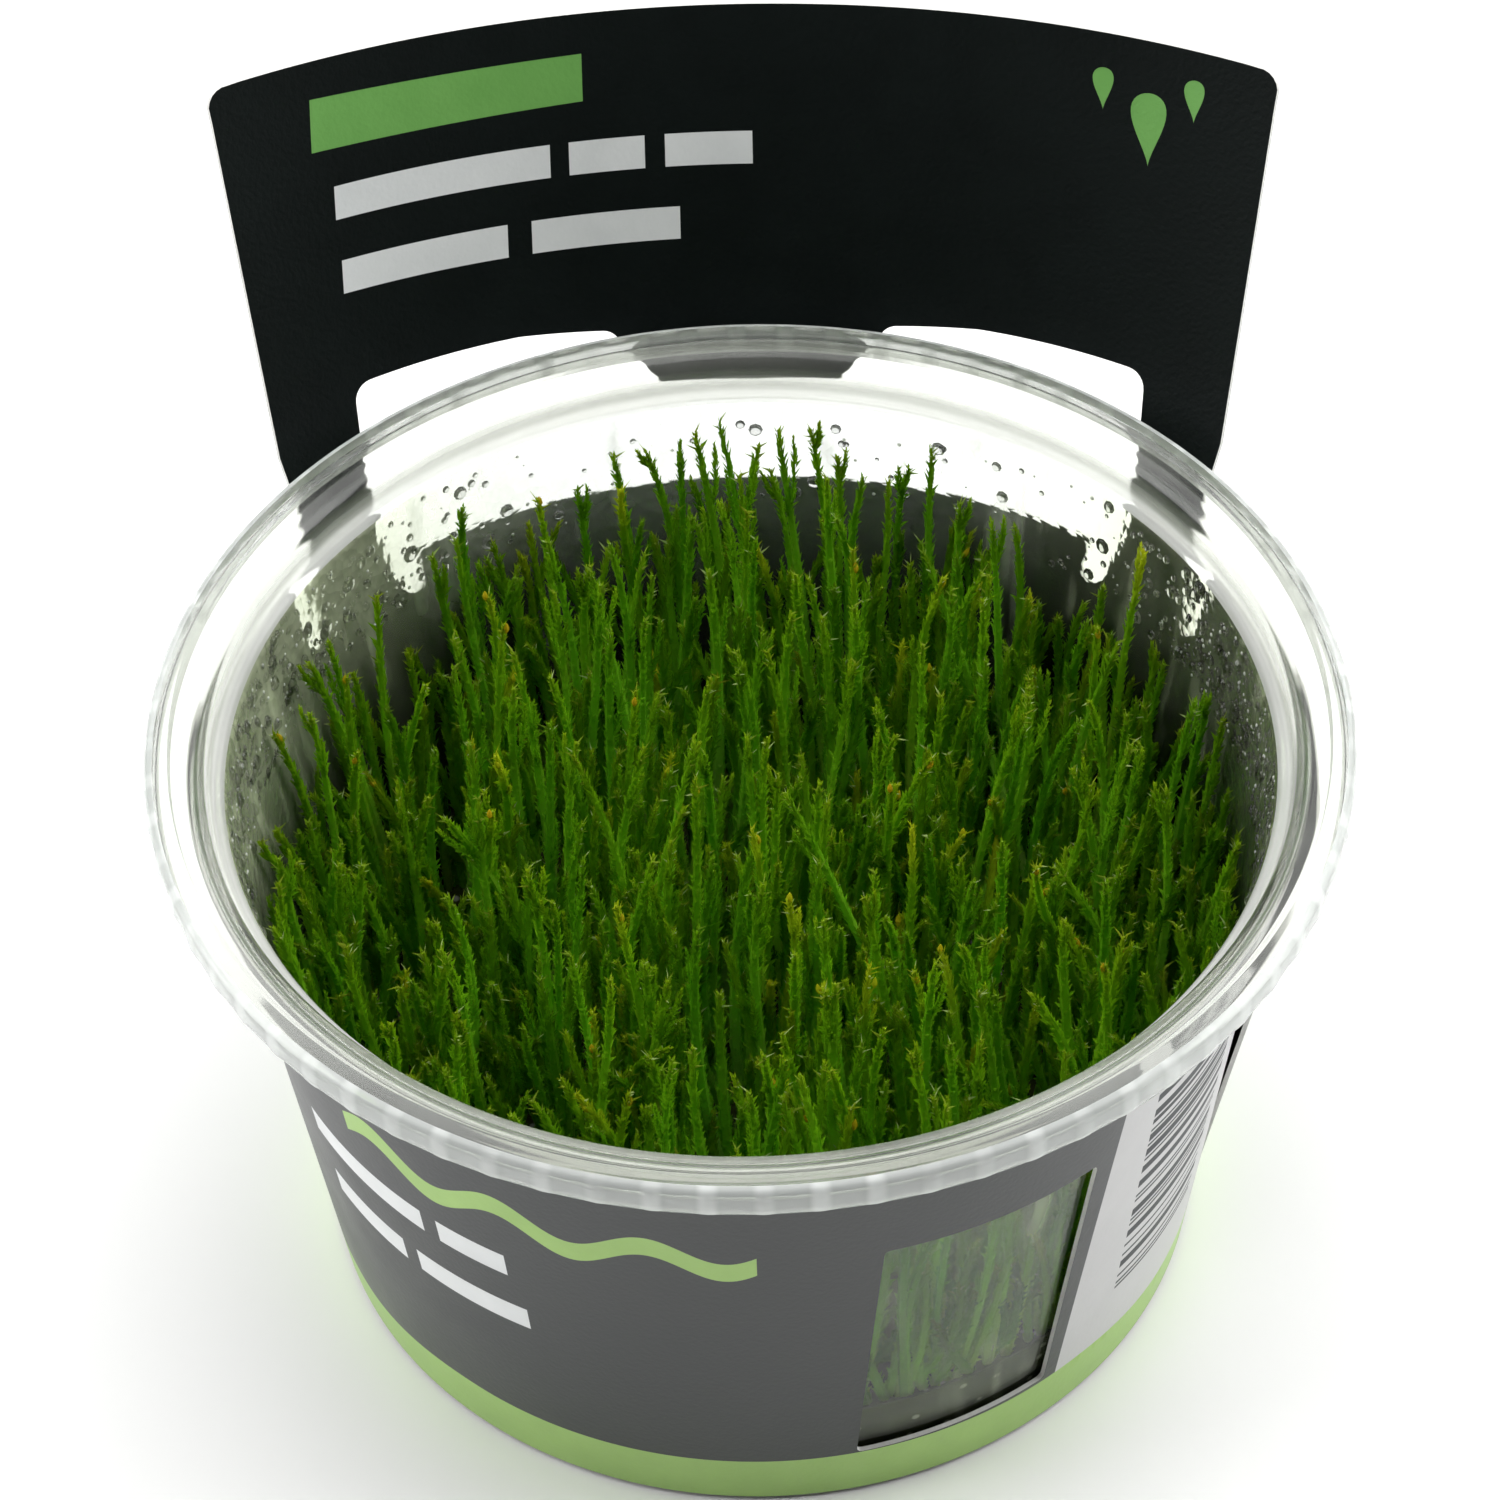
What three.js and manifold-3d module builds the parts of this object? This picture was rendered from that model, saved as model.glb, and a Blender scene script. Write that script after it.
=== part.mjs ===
// A clear culture cup of flame moss on gel, in a die-cut card sleeve with a header.
// Millimetres. The front is -Y, +Z is up, and the cup stands on Z = 0.
// The pieces are laid out from the cup's axis, and the whole is centred at the end.
import * as THREE from 'three';
import * as BufferGeometryUtils from 'three/addons/utils/BufferGeometryUtils.js';
import Module from 'manifold-3d';

const wasm = await Module();
wasm.setup();
const { Manifold } = wasm;

// Driving dimensions of the cup
const cupHeight = 55.8;
const rimRadius = 50.5;
const wallTaper = 0.134;          // radius gained per mm of height
const wallBase = 37.75;           // outer wall radius produced to Z = 0
const wallThick = 0.8;
const floorTop = 1.9;
const cupSides = 72;

// Driving dimensions of the gel and the moss
const gelTop = 10.8;
const mossRings = 25;             // rings of the round grid that the shoots stand on
const ringGap = 1.67;
const tipRise = 3;                // the longest tips over the canopy's level
const tipDrop = 13;               // how far under those the shortest tips end
const gapDepth = 15;              // how far the gaps between the shoots go down, on average
const wallGapDepth = 12;          // the same in the two rings by the cup's wall
const mossBody = [12.1, 15.5, 19];  // heights of the body's rings, from the foot up

// Driving dimensions of the card
const cardThick = 0.4;
const cardBase = 38.23;           // middle of the card, radius produced to Z = 0
const cardBottom = 0.6;
const sleeveTop = 50.4;
const headerTop = 92;
const cardTurn = THREE.MathUtils.degToRad(1.3);
const slitAt = 105.5;             // degrees from the back, towards the right
const slitFoot = 12;
const leanSlope = 0.45;           // how far the header leans back per mm of height
const leanRadius = 61.1;          // radius of the header's curve level with the rim's lip
const leanLevel = 53;
const leanCentre = -10;           // Y of the header's curve centre
const cardColumns = 96;

const rad = THREE.MathUtils.degToRad;
const deg = THREE.MathUtils.radToDeg;
const step = (x, a, b) => THREE.MathUtils.smoothstep(x, a, b);

// Radius of the middle of the card at an angle from the back (degrees) and a height
function cardRadius(d, z) {
  const wall = cardBase + wallTaper * z;
  const b = rad(d);
  const curve = leanRadius + leanSlope * (z - leanLevel);
  const c = Math.cos(b) * leanCentre;
  const lean = c + Math.sqrt(Math.max(c * c - leanCentre * leanCentre + curve * curve, 0));
  const a = Math.abs(d);
  const share = 1 - 0.88 * step(a, 51, 60) - 0.12 * step(a, 80, 115);
  let radius = wall + share * step(z, 35, 47) * Math.max(lean - wall, 0);
  if (d > 70 && d < slitAt + 0.01) {
    radius += 1.9 * THREE.MathUtils.clamp((z - slitFoot) / 36, 0, 2) * step(d, 84, 104);
  }
  return radius;
}

function cardPoint(d, z, radius) {
  const b = rad(d) + cardTurn;
  return new THREE.Vector3(radius * Math.sin(b), radius * Math.cos(b), z);
}

// Heights of the card's rows: the sleeve first, then the header
const sleeveRows = [cardBottom, slitFoot, 20, 28, 34, 37, 40, 43, 46.5, sleeveTop];
const cardRows = [...sleeveRows, 54, 60, 68, 79, headerTop];

// The uncut card: a ring that is open at the slit, with the header standing up at the back
function cardBlank() {
  const points = [];
  const index = [];
  const last = cardColumns;
  const rows = cardRows.length;
  const angle = (j) => slitAt + (360 * j) / cardColumns;
  const wrapped = (j) => ((angle(j) + 180) % 360) - 180;
  for (let j = 0; j <= last; j += 1) {
    for (const z of cardRows) {
      const atSlitEnd = j === last;
      const d = atSlitEnd ? slitAt : wrapped(j);
      const ownRadius = j === 0 ? cardBase + wallTaper * z : cardRadius(d, z);
      for (const side of [-1, 1]) points.push(cardPoint(d, z, ownRadius + (side * cardThick) / 2));
    }
  }
  const id = (j, k, side) => {
    const column = j === last && k <= 1 ? 0 : j;
    return (column * rows + k) * 2 + side;
  };
  const solid = (j, k) => {
    if (k < 0 || k >= rows - 1) return false;
    return k < sleeveRows.length - 1 || Math.abs(wrapped(j + 0.5)) < 56;
  };
  const quad = (a, b, c, d) => index.push(a, b, c, a, c, d);
  for (let j = 0; j < last; j += 1) {
    for (let k = 0; k < rows - 1; k += 1) {
      if (!solid(j, k)) continue;
      quad(id(j, k, 1), id(j, k + 1, 1), id(j + 1, k + 1, 1), id(j + 1, k, 1));
      quad(id(j, k, 0), id(j + 1, k, 0), id(j + 1, k + 1, 0), id(j, k + 1, 0));
      if (!solid(j, k - 1)) quad(id(j, k, 0), id(j, k, 1), id(j + 1, k, 1), id(j + 1, k, 0));
      if (!solid(j, k + 1)) {
        quad(id(j, k + 1, 1), id(j, k + 1, 0), id(j + 1, k + 1, 0), id(j + 1, k + 1, 1));
      }
      const openLeft = j === 0 ? k > 0 : !solid(j - 1, k);
      const openRight = j === last - 1 ? k > 0 : !solid(j + 1, k);
      if (openLeft) quad(id(j, k, 0), id(j, k + 1, 0), id(j, k + 1, 1), id(j, k, 1));
      if (openRight) quad(id(j + 1, k, 1), id(j + 1, k + 1, 1), id(j + 1, k + 1, 0), id(j + 1, k, 0));
    }
  }
  const geometry = new THREE.BufferGeometry().setFromPoints(points);
  geometry.setIndex(index);
  return geometry;
}

// Die outlines are in (u, z): u is mm round the back at a radius of 50, z is the height
const uOf = (d) => rad(d) * 50;
const dOf = (u) => deg(u / 50);

// A polygon from corners [u, z, rounding], each rounding drawn with a few points
function rounded(corners, points = 5) {
  const out = [];
  const n = corners.length;
  corners.forEach(([x, y, r], i) => {
    const p = new THREE.Vector2(x, y);
    if (!r) { out.push(p); return; }
    const [px, py] = corners[(i + n - 1) % n];
    const [nx, ny] = corners[(i + 1) % n];
    const a = new THREE.Vector2(px, py).sub(p).normalize();
    const b = new THREE.Vector2(nx, ny).sub(p).normalize();
    const half = Math.acos(THREE.MathUtils.clamp(a.dot(b), -1, 1)) / 2;
    const reach = r / Math.tan(half);
    const start = p.clone().addScaledVector(a, reach);
    const end = p.clone().addScaledVector(b, reach);
    const centre = p.clone().addScaledVector(a.clone().add(b).normalize(), r / Math.sin(half));
    const from = start.clone().sub(centre).angle();
    let sweep = end.clone().sub(centre).angle() - from;
    if (sweep > Math.PI) sweep -= 2 * Math.PI;
    if (sweep < -Math.PI) sweep += 2 * Math.PI;
    for (let s = 0; s <= points; s += 1) {
      const t = from + (sweep * s) / points;
      out.push(new THREE.Vector2(centre.x + r * Math.cos(t), centre.y + r * Math.sin(t)));
    }
  });
  return out;
}

// A die that passes radially through the card, from an outline in (u, z)
function die(outline) {
  const ring = THREE.ShapeUtils.isClockWise(outline) ? [...outline].reverse() : outline;
  const faces = THREE.ShapeUtils.triangulateShape(ring, []);
  const n = ring.length;
  const points = [0.78, 1.3].flatMap((scale) => ring.map((p) => {
    const d = dOf(p.x);
    const onHeader = Math.abs(d) < 70 && p.y > 51;
    const near = onHeader ? THREE.MathUtils.clamp(d, -50, 50) : d;
    return cardPoint(d, p.y, scale * cardRadius(near, p.y));
  }));
  const index = [];
  for (const [a, b, c] of faces) index.push(a, b, c, n + a, n + c, n + b);
  for (let i = 0; i < n; i += 1) {
    const j = (i + 1) % n;
    index.push(j, i, n + i, j, n + i, n + j);
  }
  const geometry = new THREE.BufferGeometry().setFromPoints(points);
  geometry.setIndex(index);
  return geometry;
}

// Half of the back window's outline, from the tongue's end round to the middle of the sill
const windowHalf = [
  [8.4, 50.0, 1.0], [12.1, 54.7, 1.6], [20, 55.7, 6], [34.8, 56.4, 1.8],
  [38.8, 39.5, 1.35], [35.7, 39.5, 1.35], [35.3, 42.1, 0.9],
];

// The back window is cut in upright parts, because one die can't follow the whole curve
function windowDies() {
  const half = rounded([[0, 49.8, 0], ...windowHalf, [0, 41.6, 0]]);
  const mirrored = half.slice(1, -1).reverse().map((p) => new THREE.Vector2(-p.x, p.y));
  const whole = [...half, ...mirrored];
  const bounds = [-45, -20, 0, 20, 45];
  return bounds.slice(1).map((to, i) => clipped(whole, bounds[i] - 0.01, to + 0.01));
}

// The part of an outline between two upright lines
function clipped(outline, from, to) {
  const keep = (list, inside, at) => list.flatMap((p, i) => {
    const q = list[(i + 1) % list.length];
    const out = inside(p) ? [p] : [];
    if (inside(p) !== inside(q)) {
      const t = (at - p.x) / (q.x - p.x);
      out.push(new THREE.Vector2(at, p.y + t * (q.y - p.y)));
    }
    return out;
  });
  return keep(keep(outline, (p) => p.x > from, from), (p) => p.x < to, to);
}

// From the header's flat pattern (x across, y up from the lip's level) to (u, z)
function fromFlat(x, y) {
  const sine = leanSlope / Math.hypot(1, leanSlope);
  const rho = Math.hypot(x, y + leanRadius / sine);
  const theta = Math.atan2(x, y + leanRadius / sine) / sine;
  const curve = rho * sine;
  const across = curve * Math.sin(theta);
  const along = leanCentre + curve * Math.cos(theta);
  const z = leanLevel + (curve - leanRadius) / leanSlope;
  return new THREE.Vector2(uOf(deg(Math.atan2(across, along))), z);
}

// The header's top edge is an arc, and its sides spread a little towards the top
const headerHalf = 48.9;
const headerArc = (x) => 30.8 - (x * x) / 680;
const headerSide = (y) => 44.4 + (y + 9) * 0.128;

// What is cut away beside the header: the slot next to the strip, then everything outside the edge
function sideDie(sign) {
  const slot = rounded([[53.1, 51.3, 0], [52.7, 42.3, 2.0], [48.0, 42.3, 2.0], [46.9, 43.6, 0]], 4);
  const strip = [[45.5, 44.9], [44.1, 46.6], [43.6, 48.6]].map(([u, z]) => new THREE.Vector2(u, z));
  const edge = [];
  for (let y = -6; y <= 24.5; y += 5) edge.push(fromFlat(headerSide(y), y));
  const corner = [0, 22.5, 45, 67.5, 90].map((t) => fromFlat(
    headerHalf - 1.7 + 1.7 * Math.cos(rad(t)) - 0.25 * (t / 90),
    headerArc(headerHalf - 1.7) - 1.7 + 1.7 * Math.sin(rad(t)),
  ));
  const top = corner[corner.length - 1];
  const outline = [
    ...slot, ...strip, ...edge, ...corner,
    new THREE.Vector2(top.x, headerTop + 2), new THREE.Vector2(58, headerTop + 2),
    new THREE.Vector2(58, 51.3),
  ];
  return outline.map((p) => new THREE.Vector2(sign * p.x, p.y));
}

function topDies() {
  const reach = headerHalf - 1.6;
  const bounds = [-reach, -24, 0, 24, reach];
  return bounds.slice(1).map((to, i) => {
    const from = bounds[i] - (i ? 0.02 : 0);
    const arc = [];
    for (let s = 0; s <= 6; s += 1) {
      const x = from + ((to - from) * s) / 6;
      arc.push(fromFlat(x, headerArc(x)));
    }
    const lift = headerTop + 2;
    return [...arc, new THREE.Vector2(arc[6].x, lift), new THREE.Vector2(arc[0].x, lift)];
  });
}

// The viewing window at the front right, leaning slightly as the card is wrapped
const frontWindow = [[146.8, 6.7, 0.6], [124.2, 7.1, 0.6], [122.2, 38.0, 0.6], [144.9, 38.3, 0.6]];

function solidOf(geometry) {
  const clean = geometry.clone();
  clean.deleteAttribute('normal');
  clean.deleteAttribute('uv');
  const merged = BufferGeometryUtils.mergeVertices(clean, 1e-5);
  return new Manifold(new wasm.Mesh({
    numProp: 3,
    vertProperties: new Float32Array(merged.attributes.position.array),
    triVerts: new Uint32Array(merged.index.array),
  }));
}

function geometryOf(solid) {
  const mesh = solid.getMesh();
  const geometry = new THREE.BufferGeometry();
  geometry.setAttribute('position', new THREE.BufferAttribute(mesh.vertProperties, 3));
  geometry.setIndex(new THREE.BufferAttribute(mesh.triVerts, 1));
  return geometry;
}

function card() {
  let solid = solidOf(cardBlank());
  const cuts = [...windowDies(), sideDie(1), sideDie(-1), ...topDies(), rounded(frontWindow, 2)];
  for (const outline of cuts) solid = solid.subtract(solidOf(die(outline)));
  return geometryOf(solid);
}

// A turned piece from its profile of [radius, height], which closes on the axis or on itself
function turned(profile, sides = cupSides) {
  const points = profile.map(([r, z]) => new THREE.Vector2(r, z));
  const geometry = new THREE.LatheGeometry(points, sides);
  geometry.rotateX(Math.PI / 2);
  return geometry;
}

// The cup's profile, up the outside, over the stepped rim and down the inside
function cup() {
  const outer = (z) => wallBase + wallTaper * z;
  const inner = (z) => outer(z) - wallThick;
  const H = cupHeight;
  return turned([
    [0, 1.0], [33.6, 1.0], [34.4, 0], [35.9, 0], [37.0, 0.35], [37.7, 1.2],
    [outer(1.8), 1.8], [outer(51.0), 51.0], [45.9, 51.6], [46.4, 54.0], [47.0, 54.6],
    [49.2, 54.7], [49.6, 54.3], [49.5, 52.9], [49.8, 52.6], [50.2, 52.8],
    [rimRadius - 0.05, 53.6], [rimRadius, H - 0.8], [50.2, H - 0.25], [49.5, H], [48.4, H],
    [48.1, H - 0.4], [46.9, H - 0.4], [46.1, H - 0.7], [45.55, H - 1.5], [45.2, 52.5],
    [44.9, 52.2], [44.3, 52.15], [inner(51.4), 51.4],
    [inner(3.4), 3.4], [36.9, 2.5], [36.0, 2.0], [34.9, floorTop], [0, floorTop],
  ]);
}

// The gel follows the inside of the cup and climbs a little at the wall
function gel() {
  const edge = (z) => wallBase - wallThick - 0.3 + wallTaper * z;
  return turned([
    [0, 2.2], [34.9, 2.2], [35.9, 2.35], [36.5, 2.8], [edge(3.6), 3.6], [edge(11.7), 11.7],
    [edge(11.7) - 0.5, 11.25], [edge(11.7) - 1.6, 10.95], [35, gelTop], [0, gelTop],
  ]);
}

// The tallest shoots, [x, y, height of the tip]
const tallShoots = [
  [-0.5, 37.8, 53.4], [-4.0, 37.2, 51.8], [-18.5, 34.0, 51.3], [20.5, 33.0, 49.8],
  [33.5, 21.5, 51.6], [-33.0, 21.0, 50.3], [-38.0, 8.5, 49.6], [38.3, 8.0, 49.8],
  [13.0, 37.0, 49.0], [-11.5, 38.0, 49.0], [5.5, 38.5, 48.6],
];
const frontLimit = [-34, 47];     // nearer the front than this y, no tip is over this height

// The cushion's top: it rises to the back, and drops a little towards the wall
function canopy(x, y) {
  const swell = Math.sin(x * 0.19 + 1.3) * Math.cos(y * 0.17 - 0.6);
  const rise = 0.03 * y + 3 * step(y, 8, 36);
  return 45.3 + rise + 0.9 * swell - 1.1 * step(Math.hypot(x, y), 34, 42);
}

// A fixed chance from 0 to 1 for a number, as the fraction of a large sine
function scattered(n, row) {
  const value = Math.sin(n * 12.9898 + row * 78.233) * 43758.5453;
  return value - Math.floor(value);
}

// Joins two rings of points by the shorter diagonal: `lower` and `upper` are [first index, count]
function joined(lower, upper) {
  const faces = [];
  let [i, j] = [0, 0];
  while (i < lower[1] || j < upper[1]) {
    const a = lower[0] + (i % lower[1]);
    const b = upper[0] + (j % upper[1]);
    if ((i + 1) / lower[1] <= (j + 1) / upper[1] && i < lower[1]) {
      faces.push(a, b, lower[0] + ((i + 1) % lower[1]));
      i += 1;
    } else {
      faces.push(a, b, upper[0] + ((j + 1) % upper[1]));
      j += 1;
    }
  }
  return faces;
}

// One ring of the grid: a shoot's tip at every other point of the odd rings, and gaps elsewhere
function grownRing(q, first, edge) {
  const count = Math.round(2 * Math.PI * q);
  const depth = q > mossRings - 2 ? wallGapDepth : gapDepth;
  return Array.from({ length: count }, (_, i) => {
    const n = first + i;
    const turn = (2 * Math.PI * (i + 0.6 * scattered(n, 1))) / count;
    const radius = ringGap * (q - 0.6 * scattered(n, 2));
    const [x, y] = [radius * Math.sin(turn), radius * Math.cos(turn)];
    const shoot = q % 2 === 1 && i % 2 === 0;
    const z = canopy(x, y) + (shoot
      ? tipRise - tipDrop * scattered(n, 3) ** 1.6
      : -depth * (0.7 + 0.6 * scattered(n, 4)));
    const fit = Math.min(1, edge(z) / radius);
    return { point: new THREE.Vector3(x * fit, y * fit, z), shoot };
  });
}

// The moss cushion: a body rooted on the gel, whose top is broken into upright shoots with deep
// gaps between them
function moss() {
  const edge = (z) => wallBase - wallThick - 0.5 + wallTaper * z;
  const grid = [];
  let number = 0;
  for (let q = 1; q <= mossRings; q += 1) {
    grid.push(grownRing(q, number, edge));
    number += grid[q - 1].length;
  }
  const tips = grid.flat().filter(({ shoot }) => shoot).map(({ point }) => point);
  for (const [x, y, z] of tallShoots) {
    const away = (p) => Math.hypot(p.x - x, p.y - y);
    tips.reduce((a, b) => (away(b) < away(a) ? b : a)).setZ(z);
  }
  const [frontY, frontTop] = frontLimit;
  for (const p of tips) if (p.y < frontY) p.setZ(Math.min(p.z, frontTop));
  const points = [new THREE.Vector3(0, 0, mossBody[0])];
  const rings = [];
  const wallSides = grid[mossRings - 1].length;
  for (const z of mossBody) {
    rings.push([points.length, wallSides]);
    for (let i = 0; i < wallSides; i += 1) {
      const t = (2 * Math.PI * i) / wallSides;
      points.push(new THREE.Vector3(edge(z) * Math.sin(t), edge(z) * Math.cos(t), z));
    }
  }
  for (const ring of [...grid].reverse()) {
    rings.push([points.length, ring.length]);
    points.push(...ring.map(({ point }) => point));
  }
  points.push(new THREE.Vector3(0, 0, canopy(0, 0) - gapDepth));
  const index = rings.slice(1).flatMap((ring, k) => joined(rings[k], ring));
  const fan = ([first, count], tip, up) => {
    for (let i = 0; i < count; i += 1) {
      const next = first + ((i + 1) % count);
      index.push(...(up ? [tip, next, first + i] : [tip, first + i, next]));
    }
  };
  fan(rings[0], 0, false);
  fan(rings[rings.length - 1], points.length - 1, true);
  const geometry = new THREE.BufferGeometry().setFromPoints(points);
  geometry.setIndex(index);
  return geometry;
}

function piece(name, geometry, color, extra = {}) {
  const material = new THREE.MeshStandardMaterial({ color, ...extra });
  const mesh = new THREE.Mesh(geometry, material);
  mesh.name = name;
  return mesh;
}

const pieces = [
  piece('cup', cup(), 0xe8edee, { roughness: 0.1, transparent: true, opacity: 0.35 }),
  piece('gel', gel(), 0x8c9070, { roughness: 0.3 }),
  piece('moss', moss(), 0x35690c, { roughness: 0.8 }),
  piece('card', card(), 0x2e3133, { roughness: 0.35 }),
];

// The origin is the middle of the whole object's footprint, on the surface it stands on
const bounds = new THREE.Box3();
for (const { geometry } of pieces) {
  geometry.computeBoundingBox();
  bounds.union(geometry.boundingBox);
}
const middle = bounds.getCenter(new THREE.Vector3());
for (const { geometry } of pieces) geometry.translate(-middle.x, -middle.y, 0);

const object = new THREE.Group();
object.name = 'flame_moss_cup';
object.add(...pieces);

export default object;
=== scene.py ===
import math

import bpy
import numpy as np
from mathutils import Matrix, Vector
from mathutils.geometry import delaunay_2d_cdt


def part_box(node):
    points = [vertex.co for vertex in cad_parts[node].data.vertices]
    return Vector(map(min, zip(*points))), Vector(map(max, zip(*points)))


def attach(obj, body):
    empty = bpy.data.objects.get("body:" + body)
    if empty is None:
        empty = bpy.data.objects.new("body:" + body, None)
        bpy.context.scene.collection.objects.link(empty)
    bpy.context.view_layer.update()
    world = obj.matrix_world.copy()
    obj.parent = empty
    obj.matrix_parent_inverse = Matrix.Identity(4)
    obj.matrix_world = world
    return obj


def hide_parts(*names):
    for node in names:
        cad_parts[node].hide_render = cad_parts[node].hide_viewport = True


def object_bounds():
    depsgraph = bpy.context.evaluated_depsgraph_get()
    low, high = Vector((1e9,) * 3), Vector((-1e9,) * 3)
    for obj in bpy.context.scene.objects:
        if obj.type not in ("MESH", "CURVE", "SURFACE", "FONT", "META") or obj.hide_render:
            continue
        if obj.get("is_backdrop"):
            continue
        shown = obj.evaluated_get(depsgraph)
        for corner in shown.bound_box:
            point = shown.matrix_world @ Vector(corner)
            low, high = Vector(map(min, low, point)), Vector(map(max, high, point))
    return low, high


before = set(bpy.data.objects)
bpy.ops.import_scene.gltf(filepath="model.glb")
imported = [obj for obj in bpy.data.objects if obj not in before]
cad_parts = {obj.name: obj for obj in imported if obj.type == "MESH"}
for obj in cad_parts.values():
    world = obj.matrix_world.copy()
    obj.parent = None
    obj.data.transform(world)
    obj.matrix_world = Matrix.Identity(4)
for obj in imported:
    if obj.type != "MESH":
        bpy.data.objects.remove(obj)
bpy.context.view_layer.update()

# The photographer's stand: a long lens looks 46 degrees down on the cup from the front, a trace
# out of level. The cup's axis is the middle of its solid. Every mesh is in mm from that axis and
# from the surface that the cup stands on, and materials read places in metres.
cup_low, cup_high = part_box("cup")
cup_axis = np.array([(cup_low[0] + cup_high[0]) / 2, (cup_low[1] + cup_high[1]) / 2, 0.0]) * 1000
focal_length = 131.8
looks_down = 46
out_of_level = -1.81
stand = Vector((cup_axis + [0, -318.83, 382.75]) / 1000)
lens = bpy.data.cameras.new("lens")
lens.lens, lens.sensor_width = focal_length, 36
lens.clip_start, lens.clip_end = 0.02, 20
camera = bpy.data.objects.new("camera", lens)
bpy.context.collection.objects.link(camera)
camera.matrix_world = (Matrix.Translation(stand)
                       @ Matrix.Rotation(math.radians(90 - looks_down), 4, "X")
                       @ Matrix.Rotation(math.radians(out_of_level), 4, "Z"))
bpy.context.scene.camera = camera
bpy.context.scene.view_settings.view_transform = "Standard"


# The table top and the studio round it are plain and pale: matt white laminate under three soft
# boxes, in a white surround that is dimmer towards the front, so that the glossy card stays dark.
def linear(code):
    """An sRGB hex colour as linear red, green, blue and a full alpha: each channel is divided by
    12.92 where it is dark, and raised to the power 2.4 elsewhere."""
    value = np.array([int(code[i:i + 2], 16) for i in (1, 3, 5)]) / 255
    low = value / 12.92
    high = ((value + 0.055) / 1.055) ** 2.4
    return (*np.where(value <= 0.04045, low, high).tolist(), 1.0)


def add(tree, kind, feeds=None, stops=None, **settings):
    """Adds one node: settings are its properties, feeds are values or sockets for its inputs,
    and stops are the places and colours of a colour ramp."""
    node = tree.nodes.new(kind)
    for key, value in settings.items():
        setattr(node, key, value)
    for key, value in (feeds or {}).items():
        if isinstance(value, bpy.types.NodeSocket):
            tree.links.new(value, node.inputs[key])
        else:
            node.inputs[key].default_value = value
    if stops:
        ramp = node.color_ramp
        while len(ramp.elements) < len(stops):
            ramp.elements.new(1.0)
        for element, (place, colour) in zip(ramp.elements, stops):
            element.position, element.color = place, colour
    return node


def new_material(name, **sockets):
    """A material with one Principled shader whose sockets are set by name."""
    material = bpy.data.materials.new(name)
    material.use_nodes = True
    tree = material.node_tree
    shader = tree.nodes["Principled BSDF"]
    for key, value in sockets.items():
        shader.inputs[key.replace("_", " ")].default_value = value
    return material, tree, shader


def new_piece(name, points, faces, materials=(), slots=None, smooth=True):
    """Makes an object at the origin from points in mm from the cup's axis and from faces."""
    mesh = bpy.data.meshes.new(name)
    faces = np.asarray(faces, np.int32)
    count, corners = faces.shape
    place = (np.asarray(points, float) + cup_axis) / 1000
    mesh.vertices.add(len(place))
    mesh.vertices.foreach_set("co", place.astype(np.float32).ravel())
    mesh.loops.add(count * corners)
    mesh.loops.foreach_set("vertex_index", faces.ravel())
    mesh.polygons.add(count)
    mesh.polygons.foreach_set("loop_start", np.arange(0, count * corners, corners, dtype=np.int32))
    for material in materials:
        mesh.materials.append(material)
    if slots is not None:
        mesh.polygons.foreach_set("material_index", np.asarray(slots, np.int32))
    mesh.polygons.foreach_set("use_smooth", np.full(count, smooth))
    mesh.update(calc_edges=True)
    piece = bpy.data.objects.new(name, mesh)
    bpy.context.collection.objects.link(piece)
    return piece


# Matt white laminate, 0.02 mm under the cup's foot: an even ground that holds only a soft shadow.
laminate, tree, shader = new_material(
    "matt_white_laminate", Base_Color=linear("#fdfdfc"), Roughness=0.8)
span, under = 1500.0, -0.02
floor = new_piece("floor", [(-span, -span, under), (span, -span, under), (span, span, under),
                            (-span, span, under)], [(0, 1, 2, 3)], [laminate])
floor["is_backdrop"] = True

studio = bpy.data.worlds.new("white_studio")
studio.use_nodes = True
tree = studio.node_tree
way = add(tree, "ShaderNodeTexCoord").outputs["Generated"]
to_the_front = (0.0, -0.95, 0.3)
ahead = add(tree, "ShaderNodeVectorMath", {0: way, 1: to_the_front}, operation="DOT_PRODUCT")
dimmed = add(tree, "ShaderNodeMapRange", {"Value": ahead.outputs["Value"], "From Min": 0.1,
                                          "From Max": 0.85, "To Min": 0.95, "To Max": 0.45},
             interpolation_type="SMOOTHSTEP")
tree.links.new(dimmed.outputs["Result"], tree.nodes["Background"].inputs["Strength"])
bpy.context.scene.world = studio
for name, place, size, power in (("soft_box_above", (0.05, 0.3, 0.8), 1.5, 15.5),
                                 ("soft_box_left", (-0.75, 0.0, 0.4), 0.6, 4.5),
                                 ("soft_box_right", (0.75, 0.1, 0.4), 0.6, 4.5)):
    light = bpy.data.lights.new(name, "AREA")
    light.size, light.energy = size, power
    lamp = bpy.data.objects.new(name, light)
    lamp.location = place
    towards = Vector((0, 0, 0.04)) - Vector(place)
    lamp.rotation_euler = towards.to_track_quat("-Z", "Y").to_euler()
    bpy.context.collection.objects.link(lamp)


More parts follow.
